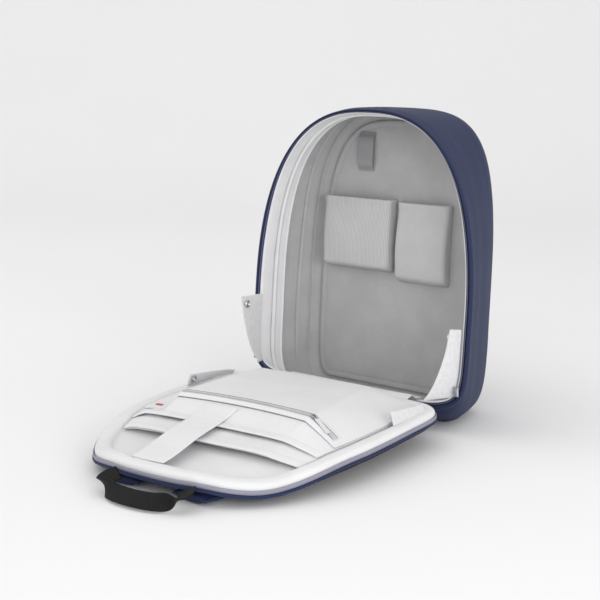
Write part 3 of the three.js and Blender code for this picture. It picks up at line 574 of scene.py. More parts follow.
NAVY = fabric("navy_cloth", srgb(36, 45, 78), weave=1.0, depth=0.14, mottle=0.05, sheen=0.03, rough=0.66,
              twill=True, dark=0.92)
PALE = fabric("pale_cloth", srgb(226, 226, 227), weave=0.9, depth=0.14, mottle=0.02, sheen=0.04, rough=0.82,
              dark=0.95, light=1.02)
RIM_PALE = fabric("pale_band", srgb(224, 224, 225), weave=0.9, depth=0.16, mottle=0.03, sheen=0.04, rough=0.82,
                  dark=0.94, light=1.02)
PALE_EDGE = fabric("pale_binding", srgb(220, 220, 221), weave=1.2, depth=0.3, mottle=0.03, sheen=0.04, rough=0.8,
                   rib=1.6, dark=0.9)
# The next two are darker copies of the pale cloth, for the lining and the case pocket inside the shell: their extra
# darkness is painted shade.
GREY = fabric("grey_lining", srgb(176, 176, 177), weave=0.9, depth=0.16, mottle=0.05, sheen=0.05, rough=0.82,
              dark=0.92)
CASE = fabric("case_pocket_painted_shade", srgb(190, 190, 191), weave=0.9, depth=0.16, mottle=0.04, sheen=0.04, rough=0.82,
              dark=0.93)
MESH = fabric("grey_mesh", srgb(200, 200, 201), weave=1.6, depth=0.9, mottle=0.03, sheen=0.03, rough=0.8, rib=2.4,
              dark=0.7)
BAND = fabric("dark_band", srgb(150, 150, 152), weave=1.2, depth=0.4, mottle=0.05, sheen=0.03, rough=0.8, rib=1.5,
              dark=0.84)
TAPE = fabric("zip_tape", srgb(104, 106, 124), weave=1.2, depth=0.35, mottle=0.06, sheen=0.04, rough=0.65,
              twill=True, dark=0.8)
GREY_TAPE = fabric("grey_zip_tape", srgb(150, 150, 164), weave=1.2, depth=0.35, mottle=0.04, sheen=0.04, rough=0.65,
                   twill=True, dark=0.85)
PALE_TAPE = fabric("pale_zip_tape", srgb(206, 206, 208), weave=1.2, depth=0.3, mottle=0.03, sheen=0.04, rough=0.7,
                   twill=True, dark=0.9)
PIPING = fabric("blue_piping", srgb(50, 68, 116), weave=1.0, depth=0.3, mottle=0.08, sheen=0.03, rough=0.5, rib=1.2,
                dark=0.7)
WEBBING = fabric("black_webbing", srgb(13, 13, 15), weave=2.1, depth=0.7, mottle=0.12, sheen=0.0, rough=0.6,
                 rib=2.2, dark=0.6, light=1.3)
BLACK_MESH = fabric("black_mesh", srgb(24, 25, 28), weave=3.2, depth=1.1, mottle=0.12, sheen=0.05, rough=0.85,
                    dark=0.55, light=1.35)
FELT = felt("felt", srgb(214, 214, 215), mottle=0.07)
# Near-black: the coil's own dark colour with painted shade of the gap it sits in.
COIL_AND_GAP_SHADE = fabric("zip_coil_and_gap_shade", srgb(26, 27, 34), weave=2.0, depth=1.0, mottle=0.1, sheen=0.05, rough=0.5, rib=2.0,
              dark=0.5, light=1.4)
RED = fabric("red_tag", srgb(190, 84, 74), weave=0.8, depth=0.2, mottle=0.06, rough=0.7, sheen=0.1)
PLASTIC = plastic("black_plastic", srgb(28, 29, 32))
SNAP = metal("snap_metal", srgb(196, 198, 202), 0.3)
STEEL = metal("zip_metal", srgb(178, 180, 186), 0.36)
THREAD_PALE = plastic("pale_thread", srgb(188, 188, 191), 0.7, 0.1)


def dress(obj, nodes, sheet=None):
    """Hides the CAD parts that a piece stands for and drops its working size keys."""
    if nodes:
        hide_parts(*nodes)
    if sheet:
        w, l = obj["flat"]
        area = obj.get("area")
        if area is not None:
            area = min(float(area), w * l * 0.999)
            area = max(area, w * l * 0.31)
    for key in ("flat", "area"):
        if key in obj:
            del obj[key]
    return obj


# Outlines of the shell and the panel

def arch(half, top, bottom, widest, top_power, low_power, n):
    a = -math.pi / 2 + 2 * math.pi * np.arange(1440) / 1440
    c, s = np.cos(a), np.sin(a)
    power = np.where(s > 0, top_power, low_power)
    reach = np.where(s > 0, top - widest, widest - bottom)
    x = half * np.sign(c) * np.abs(c) ** (2 / power)
    z = widest + reach * np.sign(s) * np.abs(s) ** (2 / power)
    pts = np.stack([x, z], -1)
    return evenly(np.vstack([pts, pts[:1]]), n + 1)[:-1]


def drawn_in(pts, inset):
    d = np.roll(pts, -1, 0) - np.roll(pts, 1, 0)
    d /= np.linalg.norm(d, axis=1, keepdims=True)
    inset = np.asarray(inset, float)
    return np.stack([pts[:, 0] - inset * d[:, 1], pts[:, 1] + inset * d[:, 0]], -1)


SECTIONS = pchip(
    np.array([0, 19 / 155, 40.3 / 155, 0.36, 96 / 155, 0.87, 0.95, 1.0]),
    np.array([[1, 0.995, 0.064, 2.5], [0.963, 1, 0.028, 2.6], [0.93, 1, 0.004, 2.7], [0.9, 1, -0.012, 2.8],
              [0.842, 0.998, -0.014, 3.1], [0.767, 0.986, -0.01, 3.5], [0.71, 0.965, 0.03, 3.4],
              [0.587, 0.92, 0.08, 3.2]]))
N = 400


def shell_point(x, depth, z):
    lean = LEAN * z * (1 - 0.5 * depth / SHELL_DEPTH)
    return np.stack(np.broadcast_arrays(x, RIM_Y + depth + lean, z), -1).astype(float)


def shell_loop(depth, inset, n=N, share=1.0):
    """A loop of the shell. share draws it towards its middle, for the broad back faces."""
    width, top, bottom, corner = SECTIONS(min(max(depth / SHELL_DEPTH, 0), 1))
    pts = arch(width * MOUTH_HALF, top * BAG_HEIGHT, bottom * BAG_HEIGHT, WIDEST * BAG_HEIGHT, corner, 6, n)
    pts = drawn_in(pts, inset)
    low = np.min(inset)
    pts[:, 1] = np.maximum(pts[:, 1], low)
    if share < 1:
        mid = np.array([0, 0.47 * BAG_HEIGHT])
        pts = mid + (pts - mid) * share
    return shell_point(pts[:, 0], depth, pts[:, 1])


PANEL = arch(PANEL_HALF, PANEL_LENGTH, 0, 0.3 * PANEL_LENGTH, 2.75, 6, N)


def rim_at(u, x=0.0):
    share = np.clip(np.asarray(u, float) / PANEL_LENGTH, 0, 1)
    droop = DROOP * smooth(np.abs(x) / PANEL_HALF, 0.3, 0.8) * smooth(share, 0.59, 0.91)
    return RIM_HINGE + (RIM_ARCH - RIM_HINGE) * share ** RIM_FALL - droop


def on_panel(points):
    """From the panel's own x, -u, z to the frame."""
    p = np.asarray(points, float)
    c, s = math.cos(PANEL_YAW), math.sin(PANEL_YAW)
    return np.stack([p[..., 0] * c - p[..., 1] * s, p[..., 0] * s + p[..., 1] * c + RIM_Y - HINGE_GAP, p[..., 2]],
                    -1)


def panel_loop(inset, height, share=1.0):
    pts = drawn_in(PANEL, inset)
    x, u = pts[:, 0], pts[:, 1]
    if share < 1:
        mid = 0.47 * PANEL_LENGTH
        x, u = x * share, mid + (u - mid) * share
    return np.stack([x, -u, height(u, x)], -1)


# Shell

BAND_IN = 9.0
_mouth = shell_loop(0, 0)
# The rim is half as wide over the top of the mouth as at its sides.
SLIM = 1 - 0.45 * smooth(_mouth[:, 2], 250, 425)


def shell_piece():
    rows, slots = [], []
    for depth, inset in ((22, 3.0), (6, 3.0), (3, 4.6), (1.6, 5.2), (-0.8, 5.3), (-2.4, 4.6), (-3.2, 3.2),
                         (-3.3, 1.8), (-2.5, 0.6),
                         (-1.2, -0.2), (0.6, -0.4), (2.6, -0.1), (3.4, 0.2), (4.4, -0.05)):
        inset = inset * SLIM
        rows.append(shell_loop(depth, inset) if depth >= 0 else shell_loop(0, inset) + [0, depth, 0])
    for depth in np.r_[np.linspace(6, 20, 8), np.linspace(24, 130, 34), np.linspace(132.5, SHELL_DEPTH, 16)]:
        rows.append(shell_loop(depth, 0))
    for share in (0.985, 0.96, 0.92, 0.84, 0.7, 0.52, 0.34, 0.16, 0.03):
        loop = shell_loop(SHELL_DEPTH, 0, share=share)
        loop[:, 1] -= 2.0 * (1 - share) * share
        rows.append(loop)
    P = np.array(rows)
    n = facing_of(P, P - P.mean((0, 1)), True)
    depth = (P[..., 1] - RIM_Y) - LEAN * P[..., 2]
    soft = fbm(P * [1, 1, 0.7], 95, 3, 5) * 1.0 + fbm(P, 34, 2, 11) * 0.22
    hold = smooth(depth, 4, 40) * smooth(P[..., 2], 0.5, 26)
    P = P + n * (soft * hold)[..., None]
    P[..., 2] = np.maximum(P[..., 2], 0.0)
    obj = tube("shell_cover", P, NAVY, capped="last")
    return dress(obj, ["shell"])


def lining_piece():
    rows = []
    depths = np.r_[np.linspace(1.5, 44, 12), np.linspace(47, 96, 40)]
    for d in depths:
        rows.append((d, LINING_IN))
    for a in np.linspace(0, math.pi / 2, 10)[1:]:
        rows.append((94 + 12 * math.sin(a), LINING_IN + 12 * (1 - math.cos(a))))
    loops = [shell_loop(d, i) for d, i in rows]
    last = rows[-1]
    for share in (0.97, 0.93, 0.88, 0.8, 0.66, 0.48, 0.3, 0.12, 0.03):
        loops.append(shell_loop(last[0], last[1], share=share))
    P = np.array(loops)
    inward = np.array([0, RIM_Y + 20, 200]) - P
    n = facing_of(P, inward, True)
    depth = np.concatenate([[r[0] for r in rows], np.full(9, 106.0)])[:, None]
    z, x = P[..., 2], P[..., 0]
    side = smooth(np.abs(x), 60, 120)
    # Long soft folds up the side walls, the sewn seam between them and a padded ridge by the back wall.
    sway = 3.0 * noise(np.stack([z, 0 * z, np.sign(x) * 50], -1), 120, 3)
    folds = 2.0 * bump(depth + sway, 89, 9) - 1.8 * bump(depth + sway, 70, 1.8)
    rough = fbm(P * [1, 1, 0.35], 26, 3, 21) * 1.2
    hold = smooth(depth, 44, 58) * (1 - smooth(depth, 100, 106))
    lift = (folds * side * smooth(z, 30, 90) + rough) * hold + 0.5 * fbm(P, 40, 2, 8) * smooth(depth, 99, 106)
    P = P + n * lift[..., None]
    P[..., 2] = np.maximum(P[..., 2], 5.6)
    # The lining's darker cloth carries painted shade of the shell's inside.
    obj = cloth("shell_inner", P, 1.8, inward, GREY, wrap=True, seat=0.0)
    return dress(obj, ["shell_lining"], sheet="stretched")


def band_piece(name, node, start, end, profile, material):
    """A padded band around the mouth. profile gives its crown across its width."""
    shares = np.linspace(0, 1, 26)
    def at(d, inset):
        slim = SLIM + (1 - SLIM) * smooth(d, 0, 26)
        return shell_loop(max(d, 0), inset * slim) + [0, min(d, 0), 0]
    rows = [at(start + 1, BAND_IN - 1.0)]
    for s in shares:
        rows.append(at(start + (end - start) * s, BAND_IN + profile(s)))
    rows.append(at(end - 1, BAND_IN - 1.6))
    P = np.array(rows)
    inward = np.array([0, RIM_Y + 20, 200]) - P
    n = facing_of(P, inward, True)
    soft = fbm(P, 45, 2, 4) * 0.35
    P[1:-1] += (n * soft[..., None])[1:-1]
    obj = tube(name, np.concatenate([P, P[:1]]), material, capped=False)
    return dress(obj, [node])


def outer_profile(s):
    edge = smooth(s, 0, 0.1) * (1 - smooth(s, 0.9, 1))
    return 0.3 + 2.4 * edge + 0.6 * math.sin(math.pi * s)


def inner_profile(s):
    edge = smooth(s, 0, 0.06) * (1 - smooth(s, 0.94, 1))
    ridge = 2.0 * float(bump(s, 0.16, 0.11)) + 1.2 * float(bump(s, 0.93, 0.06))
    return 0.3 + 2.0 * edge + ridge


def ring_piece(name, node, section, material):
    """A ring around the mouth; section lists its depth and inset corners."""
    rows = []
    for depth, inset in section:
        rows.append(shell_loop(max(depth, 0), inset * SLIM) + [0, min(depth, 0), 0])
    rows.append(rows[0])
    obj = tube(name, np.array(rows), material, capped=False)
    return dress(obj, [node] if node else [])


def teeth(name, line, normals, across, material, pitch=2.3):
    """The teeth of a zip along a closed or open line: small rounded blocks, one after another."""
    pts = np.asarray(line, float)
    s = np.r_[0, np.cumsum(np.linalg.norm(np.diff(pts, axis=0), axis=1))]
    count = int(s[-1] // pitch)
    at = (np.arange(count) + 0.5) * s[-1] / count
    P = np.stack([np.interp(at, s, pts[:, k]) for k in range(3)], -1)
    Nn = np.stack([np.interp(at, s, normals[:, k]) for k in range(3)], -1)
    A = np.stack([np.interp(at, s, across[:, k]) for k in range(3)], -1)
    T = np.stack([np.interp(at + 0.3, s, pts[:, k]) for k in range(3)], -1) - P
    T /= np.maximum(np.linalg.norm(T, axis=1, keepdims=True), 1e-9)
    verts, faces = [], []
    for k in range(count):
        base = len(verts)
        for a, r in ((-1.3, 0.55), (-0.9, 0.85), (0.9, 0.85), (1.3, 0.55)):
            for (p, q) in ((-1, -1), (1, -1), (1, 1), (-1, 1)):
                verts.append(P[k] + A[k] * a + (T[k] * p * 0.62 + Nn[k] * q * 0.62) * r)
        for row in range(3):
            for j in range(4):
                nj = (j + 1) % 4
                faces.append((base + row * 4 + j, base + row * 4 + nj, base + row * 4 + 4 + nj,
                              base + row * 4 + 4 + j))
        faces.append((base + 3, base + 2, base + 1, base))
        faces.append((base + 12, base + 13, base + 14, base + 15))
    obj = build(name, verts, faces, np.zeros((sum(len(f) for f in faces), 2)), material)
    return obj


shell_piece()
lining_piece()
band_piece("band_outer", "mouth_band_outer", -1.5, 19, outer_profile, RIM_PALE)
band_piece("band_inner", "mouth_band_inner", 19.4, 40.3, inner_profile, RIM_PALE)
# A near-black ring between the shell's rolled edge and the zip tape: the zip's coil, and painted shade of the gap
# there.
ring_piece("rim_coil_and_gap_shade", None,
           [(1.5, 5.2), (-1.6, 5.3), (-2.4, 5.5), (-2.6, 5.8), (-2.4, 6.1), (-1.6, 6.3), (1.5, 6.3)],
           COIL_AND_GAP_SHADE)
ring_piece("rim_tape", "shell_zip_tape",
           [(1.5, 6.3), (-2.2, 6.4), (-3.2, 6.6), (-3.5, 6.9), (-3.2, 7.3), (-2.2, 7.6), (1.5, 7.6)],
           TAPE)
ring_piece("rim_piping", "shell_piping",
           [(1.0, 7.6), (-1.6, 7.6), (-2.6, 7.9), (-2.9, 8.3), (-2.6, 8.7), (-1.6, 9.0), (1.0, 9.0)],
           PIPING)


# Back wall of the shell

ORG_FRONT = 106 - 0.3 - 4


def organiser():
    loops = []
    for depth, inset, share in ((106.0, 20.5, 1), (104.5, 19.6, 1), (103, 19.5, 1), (101.9, 20.4, 1),
                                (101.4, 22, 1), (101.3, 24, 1),
                                (101.6, 27, 1), (101.9, 28.5, 1), (101.5, 30, 1), (101.2, 33, 1), (101.2, 40, 1)):
        loops.append(shell_loop(depth, inset, share=share))
    for share in (0.9, 0.8, 0.7, 0.6, 0.5, 0.4, 0.3, 0.2, 0.1, 0.02):
        loops.append(shell_loop(101.3, 40, share=share))
    P = np.array(loops)
    soft = fbm(P, 60, 3, 31) * 0.5
    P[..., 1] -= soft * np.linspace(0, 1, len(loops))[:, None]
    # The organiser uses the lining's darker cloth, with painted shade of the shell's inside.
    obj = tube("organiser", P, GREY, capped="last")
    return dress(obj, ["organiser_panel"])


def pouch(name, node, left, right, bottom, top, depth, bulge, material, gather=0.0, seed=1):
    """A pocket sewn to the back wall: its sheet goes out from the wall, across and back, closed below."""
    back = ORG_FRONT - 0.4
    cols = 90
    t = np.linspace(0, 1, cols)
    rows = []
    heights = np.r_[np.linspace(0, 1, 46)]
    for h in heights:
        swell = bulge * math.sin(math.pi * min(h * 1.15, 1)) + 0.8
        out = (depth + swell) * (1 - (1 - min(h / 0.09, 1)) ** 2.4 * 0.92)
        corner = 7.0
        l, r = left + 0.5, right - 0.5
        path = np.array([[l, back], [l - 0.2, back - out * 0.5], [l + 0.6, back - out + corner * 0.45],
                         [l + corner * 0.5, back - out + 0.8], [l + corner, back - out],
                         [(l * 2 + r) / 3, back - out - bulge * 0.3], [(l + r) / 2, back - out - bulge * 0.4],
                         [(l + 2 * r) / 3, back - out - bulge * 0.3],
                         [r - corner, back - out], [r - corner * 0.5, back - out + 0.8],
                         [r - 0.6, back - out + corner * 0.45], [r + 0.2, back - out * 0.5], [r, back]])
        line = through(path, cols)
        z = bottom + (top - bottom) * h
        rows.append(shell_point(line[:, 0], line[:, 1], z + 0 * line[:, 0]))
    P = np.array(rows)
    n = facing_of(P, [0, -1, 0], False)
    hh = heights[:, None]
    soft = fbm(P * [1, 1, 0.5], 22, 3, seed) * 0.7 * np.sin(np.pi * t)[None] ** 0.5 * (1 - smooth(hh, 0.9, 1.0))
    ripple = gather * np.sin(P[..., 0] / 3.1 + noise(P, 9, seed) * 1.4) * smooth(hh, 0.8,
                                                                                 0.97) * np.sin(np.pi * t)[None]
    P = P + n * (soft + ripple)[..., None]
    thick = np.full(P.shape[:2], 1.3)
    thick += 1.1 * smooth(hh, 0.935, 0.95) + 0.5 * (1 - smooth(hh, 0.0, 0.05))
    obj = cloth(name, P, thick, [0, -1, 0], material, seat=0.7)
    return dress(obj, [node], sheet="stretched")


organiser()
pouch("net_pocket", "mesh_pocket", -121, -3, 196, 303, 21, 2, MESH, gather=0.35, seed=4)
# The case pocket's darker cloth carries painted shade of the shell's inside.
pouch("side_pocket", "case_pocket", 6, 92, 184, 301, 13, 5, CASE, gather=0.25, seed=9)
lead_band = strap("lead_band", [
    shell_point(-60.5, ORG_FRONT - 1.2 - 5.5 * rise, 343 + share * 58).tolist()
    for share, rise in ((0, 0), (0.05, 0.1), (0.17, 1), (0.5, 1.05), (0.83, 1), (0.95, 0.1), (1, 0))],
    lambda s: (1, 0, 0), 27, 1.7, BAND, power=8)
dress(lead_band, ["cable_band"], sheet="stretched")


# Wings

WING = 50.0
WINGS = {
    -1: [(0.125, 0.27, 0.34, 0.34), (0.19, 0.27, 0.28, 0.56), (0.28, 0.27, 0.22, 0.8), (0.352, 0.27, 0.18, 0.92)],
    1: [(0.122, 0.27, 0.66, 0.84), (0.19, 0.27, 0.58, 0.62), (0.27, 0.27, 0.52, 0.36), (0.335, 0.27, 0.5, 0.24)]}
_edge = shell_loop(0, 0)
_edge = _edge[_edge[:, 0] > 0]
_edge = _edge[np.argsort(_edge[:, 2])]


def wing_point(side, row, col):
    table = WINGS[side]
    f = pchip(np.linspace(0, 1, 4), np.array(table))
    h, root, tip, out = np.moveaxis(f(row), -1, 0)
    z = h * BAG_HEIGHT
    half = np.interp(z, _edge[:, 2], _edge[:, 0])
    inwards = (root + (tip - root) * col) * WING
    reach = 2.6 + (out * WING - 2.6) * col
    return shell_point(side * (half - inwards), -reach, z)


def wing_piece(side, name):
    rows, cols = 60, 34
    r, c = np.meshgrid(np.linspace(0, 1, rows), np.linspace(0, 1, cols), indexing="ij")
    P = wing_point(side, r, c)
    n = facing_of(P, [-side, 0, 0], False)
    soft = fbm(P, 30, 3, 50 + side) * 1.1 * smooth(c, 0.05, 0.5)
    seam = -0.35 * bump(c, 0.9, 0.03)
    P = P + n * (soft + seam)[..., None]
    obj = cloth(f"wing_{name}", P, 2.0, [-side, 0, 0], FELT)
    return dress(obj, [f"shell_wing_{name}"], sheet="hung")


def snap_piece(name, node, place, normal):
    """A snap fastener: a capped ring with a socket in it, turned about its own axis."""
    profile = [(0.0, 0.9), (1.3, 0.9), (1.6, 1.1), (1.9, 1.9), (2.6, 2.5), (3.3, 2.2), (3.6, 1.4), (4.3, 1.3),
               (4.6, 2.1),
               (5.1, 2.2), (5.5, 1.6), (5.6, 0.8), (5.3, 0.1), (4.6, 0.0), (0.0, 0.0)]
    normal = np.asarray(normal, float) / np.linalg.norm(normal)
    a = np.cross(normal, [0, 0, 1])
    a /= np.linalg.norm(a)
    b = np.cross(normal, a)
    loops = []
    for r, h in profile[1:-1]:
        ang = np.linspace(0, 2 * math.pi, 40, endpoint=False)
        loops.append(place + normal * h + r * (np.cos(ang)[:, None] * a + np.sin(ang)[:, None] * b))
    obj = tube(name, loops, SNAP)
    return dress(obj, [node])


for side, word in ((-1, "left"), (1, "right")):
    wing_piece(side, word)
    row, col = 0.88, 0.8
    here = wing_point(side, np.array(row), np.array(col))
    g = np.cross(wing_point(side, np.array(row), np.array(col + 0.05)) - here,
                 wing_point(side, np.array(row + 0.05), np.array(col)) - here)
    g /= np.linalg.norm(g)
    if g[0] * -side < 0:
        g = -g
    snap_piece(f"snap_{word}", f"shell_snap_{word}", here + g * 1.5, g)


# Panel

def lining_under(u, x=0.0):
    return rim_at(u, x) - LINING_THICK


def lining_floor(u, x=0.0):
    return rim_at(u, x) - 9


def panel_lining_piece():
    rows = [panel_loop(PAD_RIM, lining_under, 0.5), panel_loop(PAD_RIM, lining_under), panel_loop(4, lining_under),
            panel_loop(1.2, lambda u, x: lining_under(u, x) + 0.8),
            panel_loop(0.2, lambda u, x: lining_under(u, x) + 3)]
    for a in np.linspace(-0.2, math.pi / 2, 9):
        rows.append(panel_loop(6 - 6.0 * math.cos(a), lambda u, x, a=a: rim_at(u, x) - 5.5 + 5.9 * math.sin(a)))
    for inset, drop in ((8, -0.6), (11, -0.7), (14, -0.4), (16.5, 0.4), (18.5, 1.6), (20.2, 3.6), (21.6, 6.2),
                        (22.6, 8.2),
                        (24, 8.9), (28, 9)):
        rows.append(panel_loop(inset, lambda u, x, d=drop: rim_at(u, x) - d))
    for share in (0.95, 0.85, 0.75, 0.62, 0.5, 0.36, 0.22, 0.08, 0.02):
        rows.append(panel_loop(28, lining_floor, share))
    P = np.array(rows)
    k = np.arange(len(rows))[:, None]
    top = ((k > 5) & (k < 20)).astype(float)
    soft = fbm(P, 42, 3, 71) * 0.8
    P[..., 2] += soft * top + 0.25 * fbm(P, 30, 2, 5) * (k >= 22)
    obj = tube("panel_inner", on_panel(P), PALE)
    return dress(obj, ["panel_lining"])


def board_top(u, x=0.0):
    return lining_under(u, x) - 0.3


def board_under(u, x=0.0):
    return board_top(u, x) - BOARD


def board_piece():
    rows = [panel_loop(10, board_top, 0.4), panel_loop(4, board_top), panel_loop(-1.5, board_top)]
    for a in np.linspace(math.pi / 2, -math.pi / 2, 9):
        rows.append(panel_loop(-1.0 - 2.0 * math.cos(a), lambda u, x,
                               a=a: (board_top(u, x) + board_under(u, x)) / 2 + 2.0 * math.sin(a)))
    rows += [panel_loop(1, board_under), panel_loop(8, board_under), panel_loop(10, board_under, 0.4)]
    P = np.array(rows)
    obj = tube("panel_edge", on_panel(P), NAVY)
    return dress(obj, ["panel_board"])


def panel_ring(name, node, section, base, material):
    rows = [panel_loop(inset, lambda u, x, h=h: base(u, x) + h) for inset, h in section]
    rows.append(rows[0])
    obj = tube(name, on_panel(np.array(rows)), material, capped=False)
    return dress(obj, [node] if node else [])


def padding_loop(share, height, inset=6.0):
    pts = drawn_in(PANEL, inset)
    x, u = pts[:, 0], pts[:, 1]
    mid = 0.4 * PANEL_LENGTH
    u = mid + (u - mid) * share * np.where(u > mid, 0.9, 1)
    x = x * share
    return np.stack([x, -u, height(u, x)], -1)


def back_padding_piece():
    top = lambda u, x: board_under(u, x) - 0.3 - 1.8 * smooth(u / PANEL_LENGTH, 0.5, 0.75)
    low = lambda u, x: np.minimum(STRAP_T + 0.4, top(u, x) - 3.5)
    rows = [padding_loop(0.5, top), padding_loop(0.985, top), padding_loop(1.0, lambda u, x: top(u, x) - 1.2)]
    for share, up, down in ((1.004, 1.2, 4), (0.995, 0.8, 7), (0.975, 0.5, 9.5), (0.94, 0.2, 11.5), (0.9, 0, 13.5)):
        rows.append(padding_loop(share, lambda u, x, up=up,
                                 down=down: np.maximum(low(u, x) + up, top(u, x) - down)))
    for share in (0.84, 0.78, 0.7, 0.6, 0.5, 0.38, 0.26, 0.14, 0.03):
        rows.append(padding_loop(share, low))
    P = np.array(rows)
    # Sewn channels across the padding.
    u = -P[..., 1]
    under = smooth(np.arange(len(rows))[:, None], 5, 9)
    for at in (95, 175, 255):
        P[..., 2] += under * 2.6 * bump(u, at + 10 * np.cos(P[..., 0] / 60), 4.5)
    obj = tube("back_pad", on_panel(P), BLACK_MESH)
    return dress(obj, ["back_padding"])


panel_lining_piece()
board_piece()
TAPE_U = lambda u, x: board_top(u, x) + 0.3
panel_ring("panel_tape", "panel_zip_tape",
           [(-0.4, 0.2), (-0.5, 3.0), (-0.8, 4.8), (-1.4, 5.2), (-2.0, 4.9), (-2.3, 3.0), (-2.2, 0.2)],
           TAPE_U, GREY_TAPE)
panel_ring("panel_cord", "panel_piping",
           [(1.5, -0.2), (3.7, -0.2), (4.0, -1.2), (3.4, -2.2), (2.4, -2.5), (1.5, -2.0), (1.1, -1.0)],
           lambda u, x: board_under(u, x) - 0.3, PIPING)
back_padding_piece()


# Straps and webbing under the panel

STRAP_ROWS = [(0.975, 0.42, 0.8), (0.8, 0.47, 1), (0.6, 0.5, 1), (0.42, 0.55, 0.9), (0.24, 0.6, 0.6)]
for side, word in ((-1, "left"), (1, "right")):
    widths = pchip(np.linspace(0, 1, 5), [r[2] * STRAP_W for r in STRAP_ROWS])
    pts = [on_panel([side * r[1] * STRAP_APART, -r[0] * PANEL_LENGTH, STRAP_T / 2]) for r in STRAP_ROWS]

    def puff(s, sec, w, t):
        """Padded in the middle, with a bound edge either side."""
        across = np.abs(sec[:, 0]) / (w / 2)
        out = sec.copy()
        out[:, 1] *= 1 - 0.42 * smooth(across, 0.62, 0.86) + 0.12 * smooth(across, 0.86, 0.95)
        ends = 1 - 0.35 * (1 - smooth(s, 0, 0.05)) - 0.35 * smooth(s, 0.95, 1)
        out[:, 1] *= ends
        return out
    obj = strap(f"shoulder_pad_{word}", pts, lambda s: (1, 0, 0), lambda s: float(widths(s)), STRAP_T - 0.2, NAVY,
                n=110, section=44, power=3.0, shape=puff)
    dress(obj, [f"shoulder_strap_{word}"])
    end = STRAP_ROWS[-1]
    bx = side * end[1] * STRAP_APART * 1.02
    by = -end[0] * PANEL_LENGTH + 3.3
    # A ladder-lock buckle: two rails and three bars.
    parts_v, parts_f = [], []

    def bar(x0, x1, y0, y1, z0, z1, cut=0.9):
        base = len(parts_v)
        for z, c in ((z0, cut), (z0 + cut, 0), (z1 - cut, 0), (z1, cut)):
            for x, y in ((x0 + c, y0 + c + 1.2), (x0 + c + 1.2, y0 + c), (x1 - c - 1.2, y0 + c),
                         (x1 - c, y0 + c + 1.2),
                         (x1 - c, y1 - c - 1.2), (x1 - c - 1.2, y1 - c), (x0 + c + 1.2, y1 - c),
                         (x0 + c, y1 - c - 1.2)):
                parts_v.append([x, y, z])
        for row in range(3):
            for k in range(8):
                nk = (k + 1) % 8
                parts_f.append((base + row * 8 + k, base + row * 8 + nk, base + row * 8 + 8 + nk,
                                base + row * 8 + 8 + k))
        parts_f.append(tuple(base + k for k in range(7, -1, -1)))
        parts_f.append(tuple(base + 24 + k for k in range(8)))
    bar(bx - 17, bx - 12.2, by, by + 24, 0.2, 6)
    bar(bx + 12.2, bx + 17, by, by + 24, 0.2, 6)
    bar(bx - 13, bx + 13, by + 0.4, by + 5, 0.8, 5.2)
    bar(bx - 13, bx + 13, by + 9.5, by + 14, 1.2, 5.6)
    bar(bx - 13, bx + 13, by + 19, by + 23.6, 0.8, 5.2)
    obj = build(f"buckle_{word}", on_panel(np.array(parts_v)), parts_f, np.zeros((sum(len(f) for f in parts_f), 2)),
                PLASTIC)
    dress(obj, [f"strap_buckle_{word}"])
    web = by + 24.5
    top = STRAP_T + 0.4 - 0.5 - 1.1 - 0.3
    pts = [[bx, web, 2.2], [bx, web + 10, 2.2], [bx + side * 6, web + 22, top * 0.45],
           [bx + side * 12, web + 34, top * 0.9],
           [bx + side * 16, web + 44, top]]
    obj = strap(f"webbing_{word}", [on_panel(p) for p in pts], lambda s, side=side: (1, side * 0.4 * s, 0), 20, 2.1,
                WEBBING,
                n=50, section=28, power=8)
    dress(obj, [f"strap_webbing_{word}"])


# Carry handle

HANDLE = [(-0.5, 0, 0.77), (-0.55, 0.22, 0.68), (-0.53, 0.55, 0.54), (-0.36, 0.86, 0.44), (0, 1, 0.41),
          (0.36, 0.86, 0.44),
          (0.53, 0.55, 0.54), (0.55, 0.22, 0.68), (0.5, 0, 0.77)]
handle_edge = PANEL_LENGTH * 0.9962 + 3 + 0.3
pts = [on_panel([a * 103 + 8, -(handle_edge + 1.1 + o * 38), h * 25 + 1.2]) for a, o, h in HANDLE]
turn = Matrix.Rotation(PANEL_YAW, 3, "Z")


def handle_across(s):
    v = turn @ Vector((-math.cos(math.pi * s), 0.68 * math.sin(math.pi * s), 0.3 + 0.43 * math.sin(math.pi * s)))
    return tuple(v)


obj = strap("handle", pts, handle_across, 21.5, 2.2, WEBBING, n=150, section=30, power=8)
dress(obj, ["carry_handle"])


# Pockets

POCKETS = [(0.74, 5.0, 5.0, -0.02), (0.765, 8.0, 7.5, -0.035), (0.665, 11.0, 11.5, 0.0), (0.54, 16.5, 24.5, 0.05)]
START = PAD_RIM + 4
PROFILE = [(-1, 0), (-0.93, 0.5), (-0.83, 0.9), (-0.6, 1), (-0.25, 1), (0.1, 1), (0.42, 1), (0.64, 0.97),
           (0.82, 0.6),
           (0.93, 0.3), (1, 0)]
rise_at = pchip([p[0] for p in PROFILE], [p[1] for p in PROFILE])
_floor = drawn_in(PANEL, PAD_RIM + 2)
_floor = _floor[_floor[:, 0] > 0]
_floor = _floor[np.argsort(_floor[:, 1])]


def floor_half(u):
    return np.interp(u, _floor[:, 1], _floor[:, 0])


def zip_end(a):
    return (POCKETS[3][0] + POCKETS[3][3] * a * a) * PANEL_LENGTH


def box_rise(a, u):
    """How far the zip pocket rises across the panel: an upright left end, a flat top and a facet that falls to the right."""
    crease = 0.5 + 0.15 * smooth(u, 50, 225)
    left = 0.1 * smooth(a, -1, -0.8) + 0.9 * smooth(a, -0.735, -0.665)
    right = 1 - np.clip((a - crease) / (0.985 - crease), 0, 1) ** 1.05
    return np.where(a < 0, left, right)


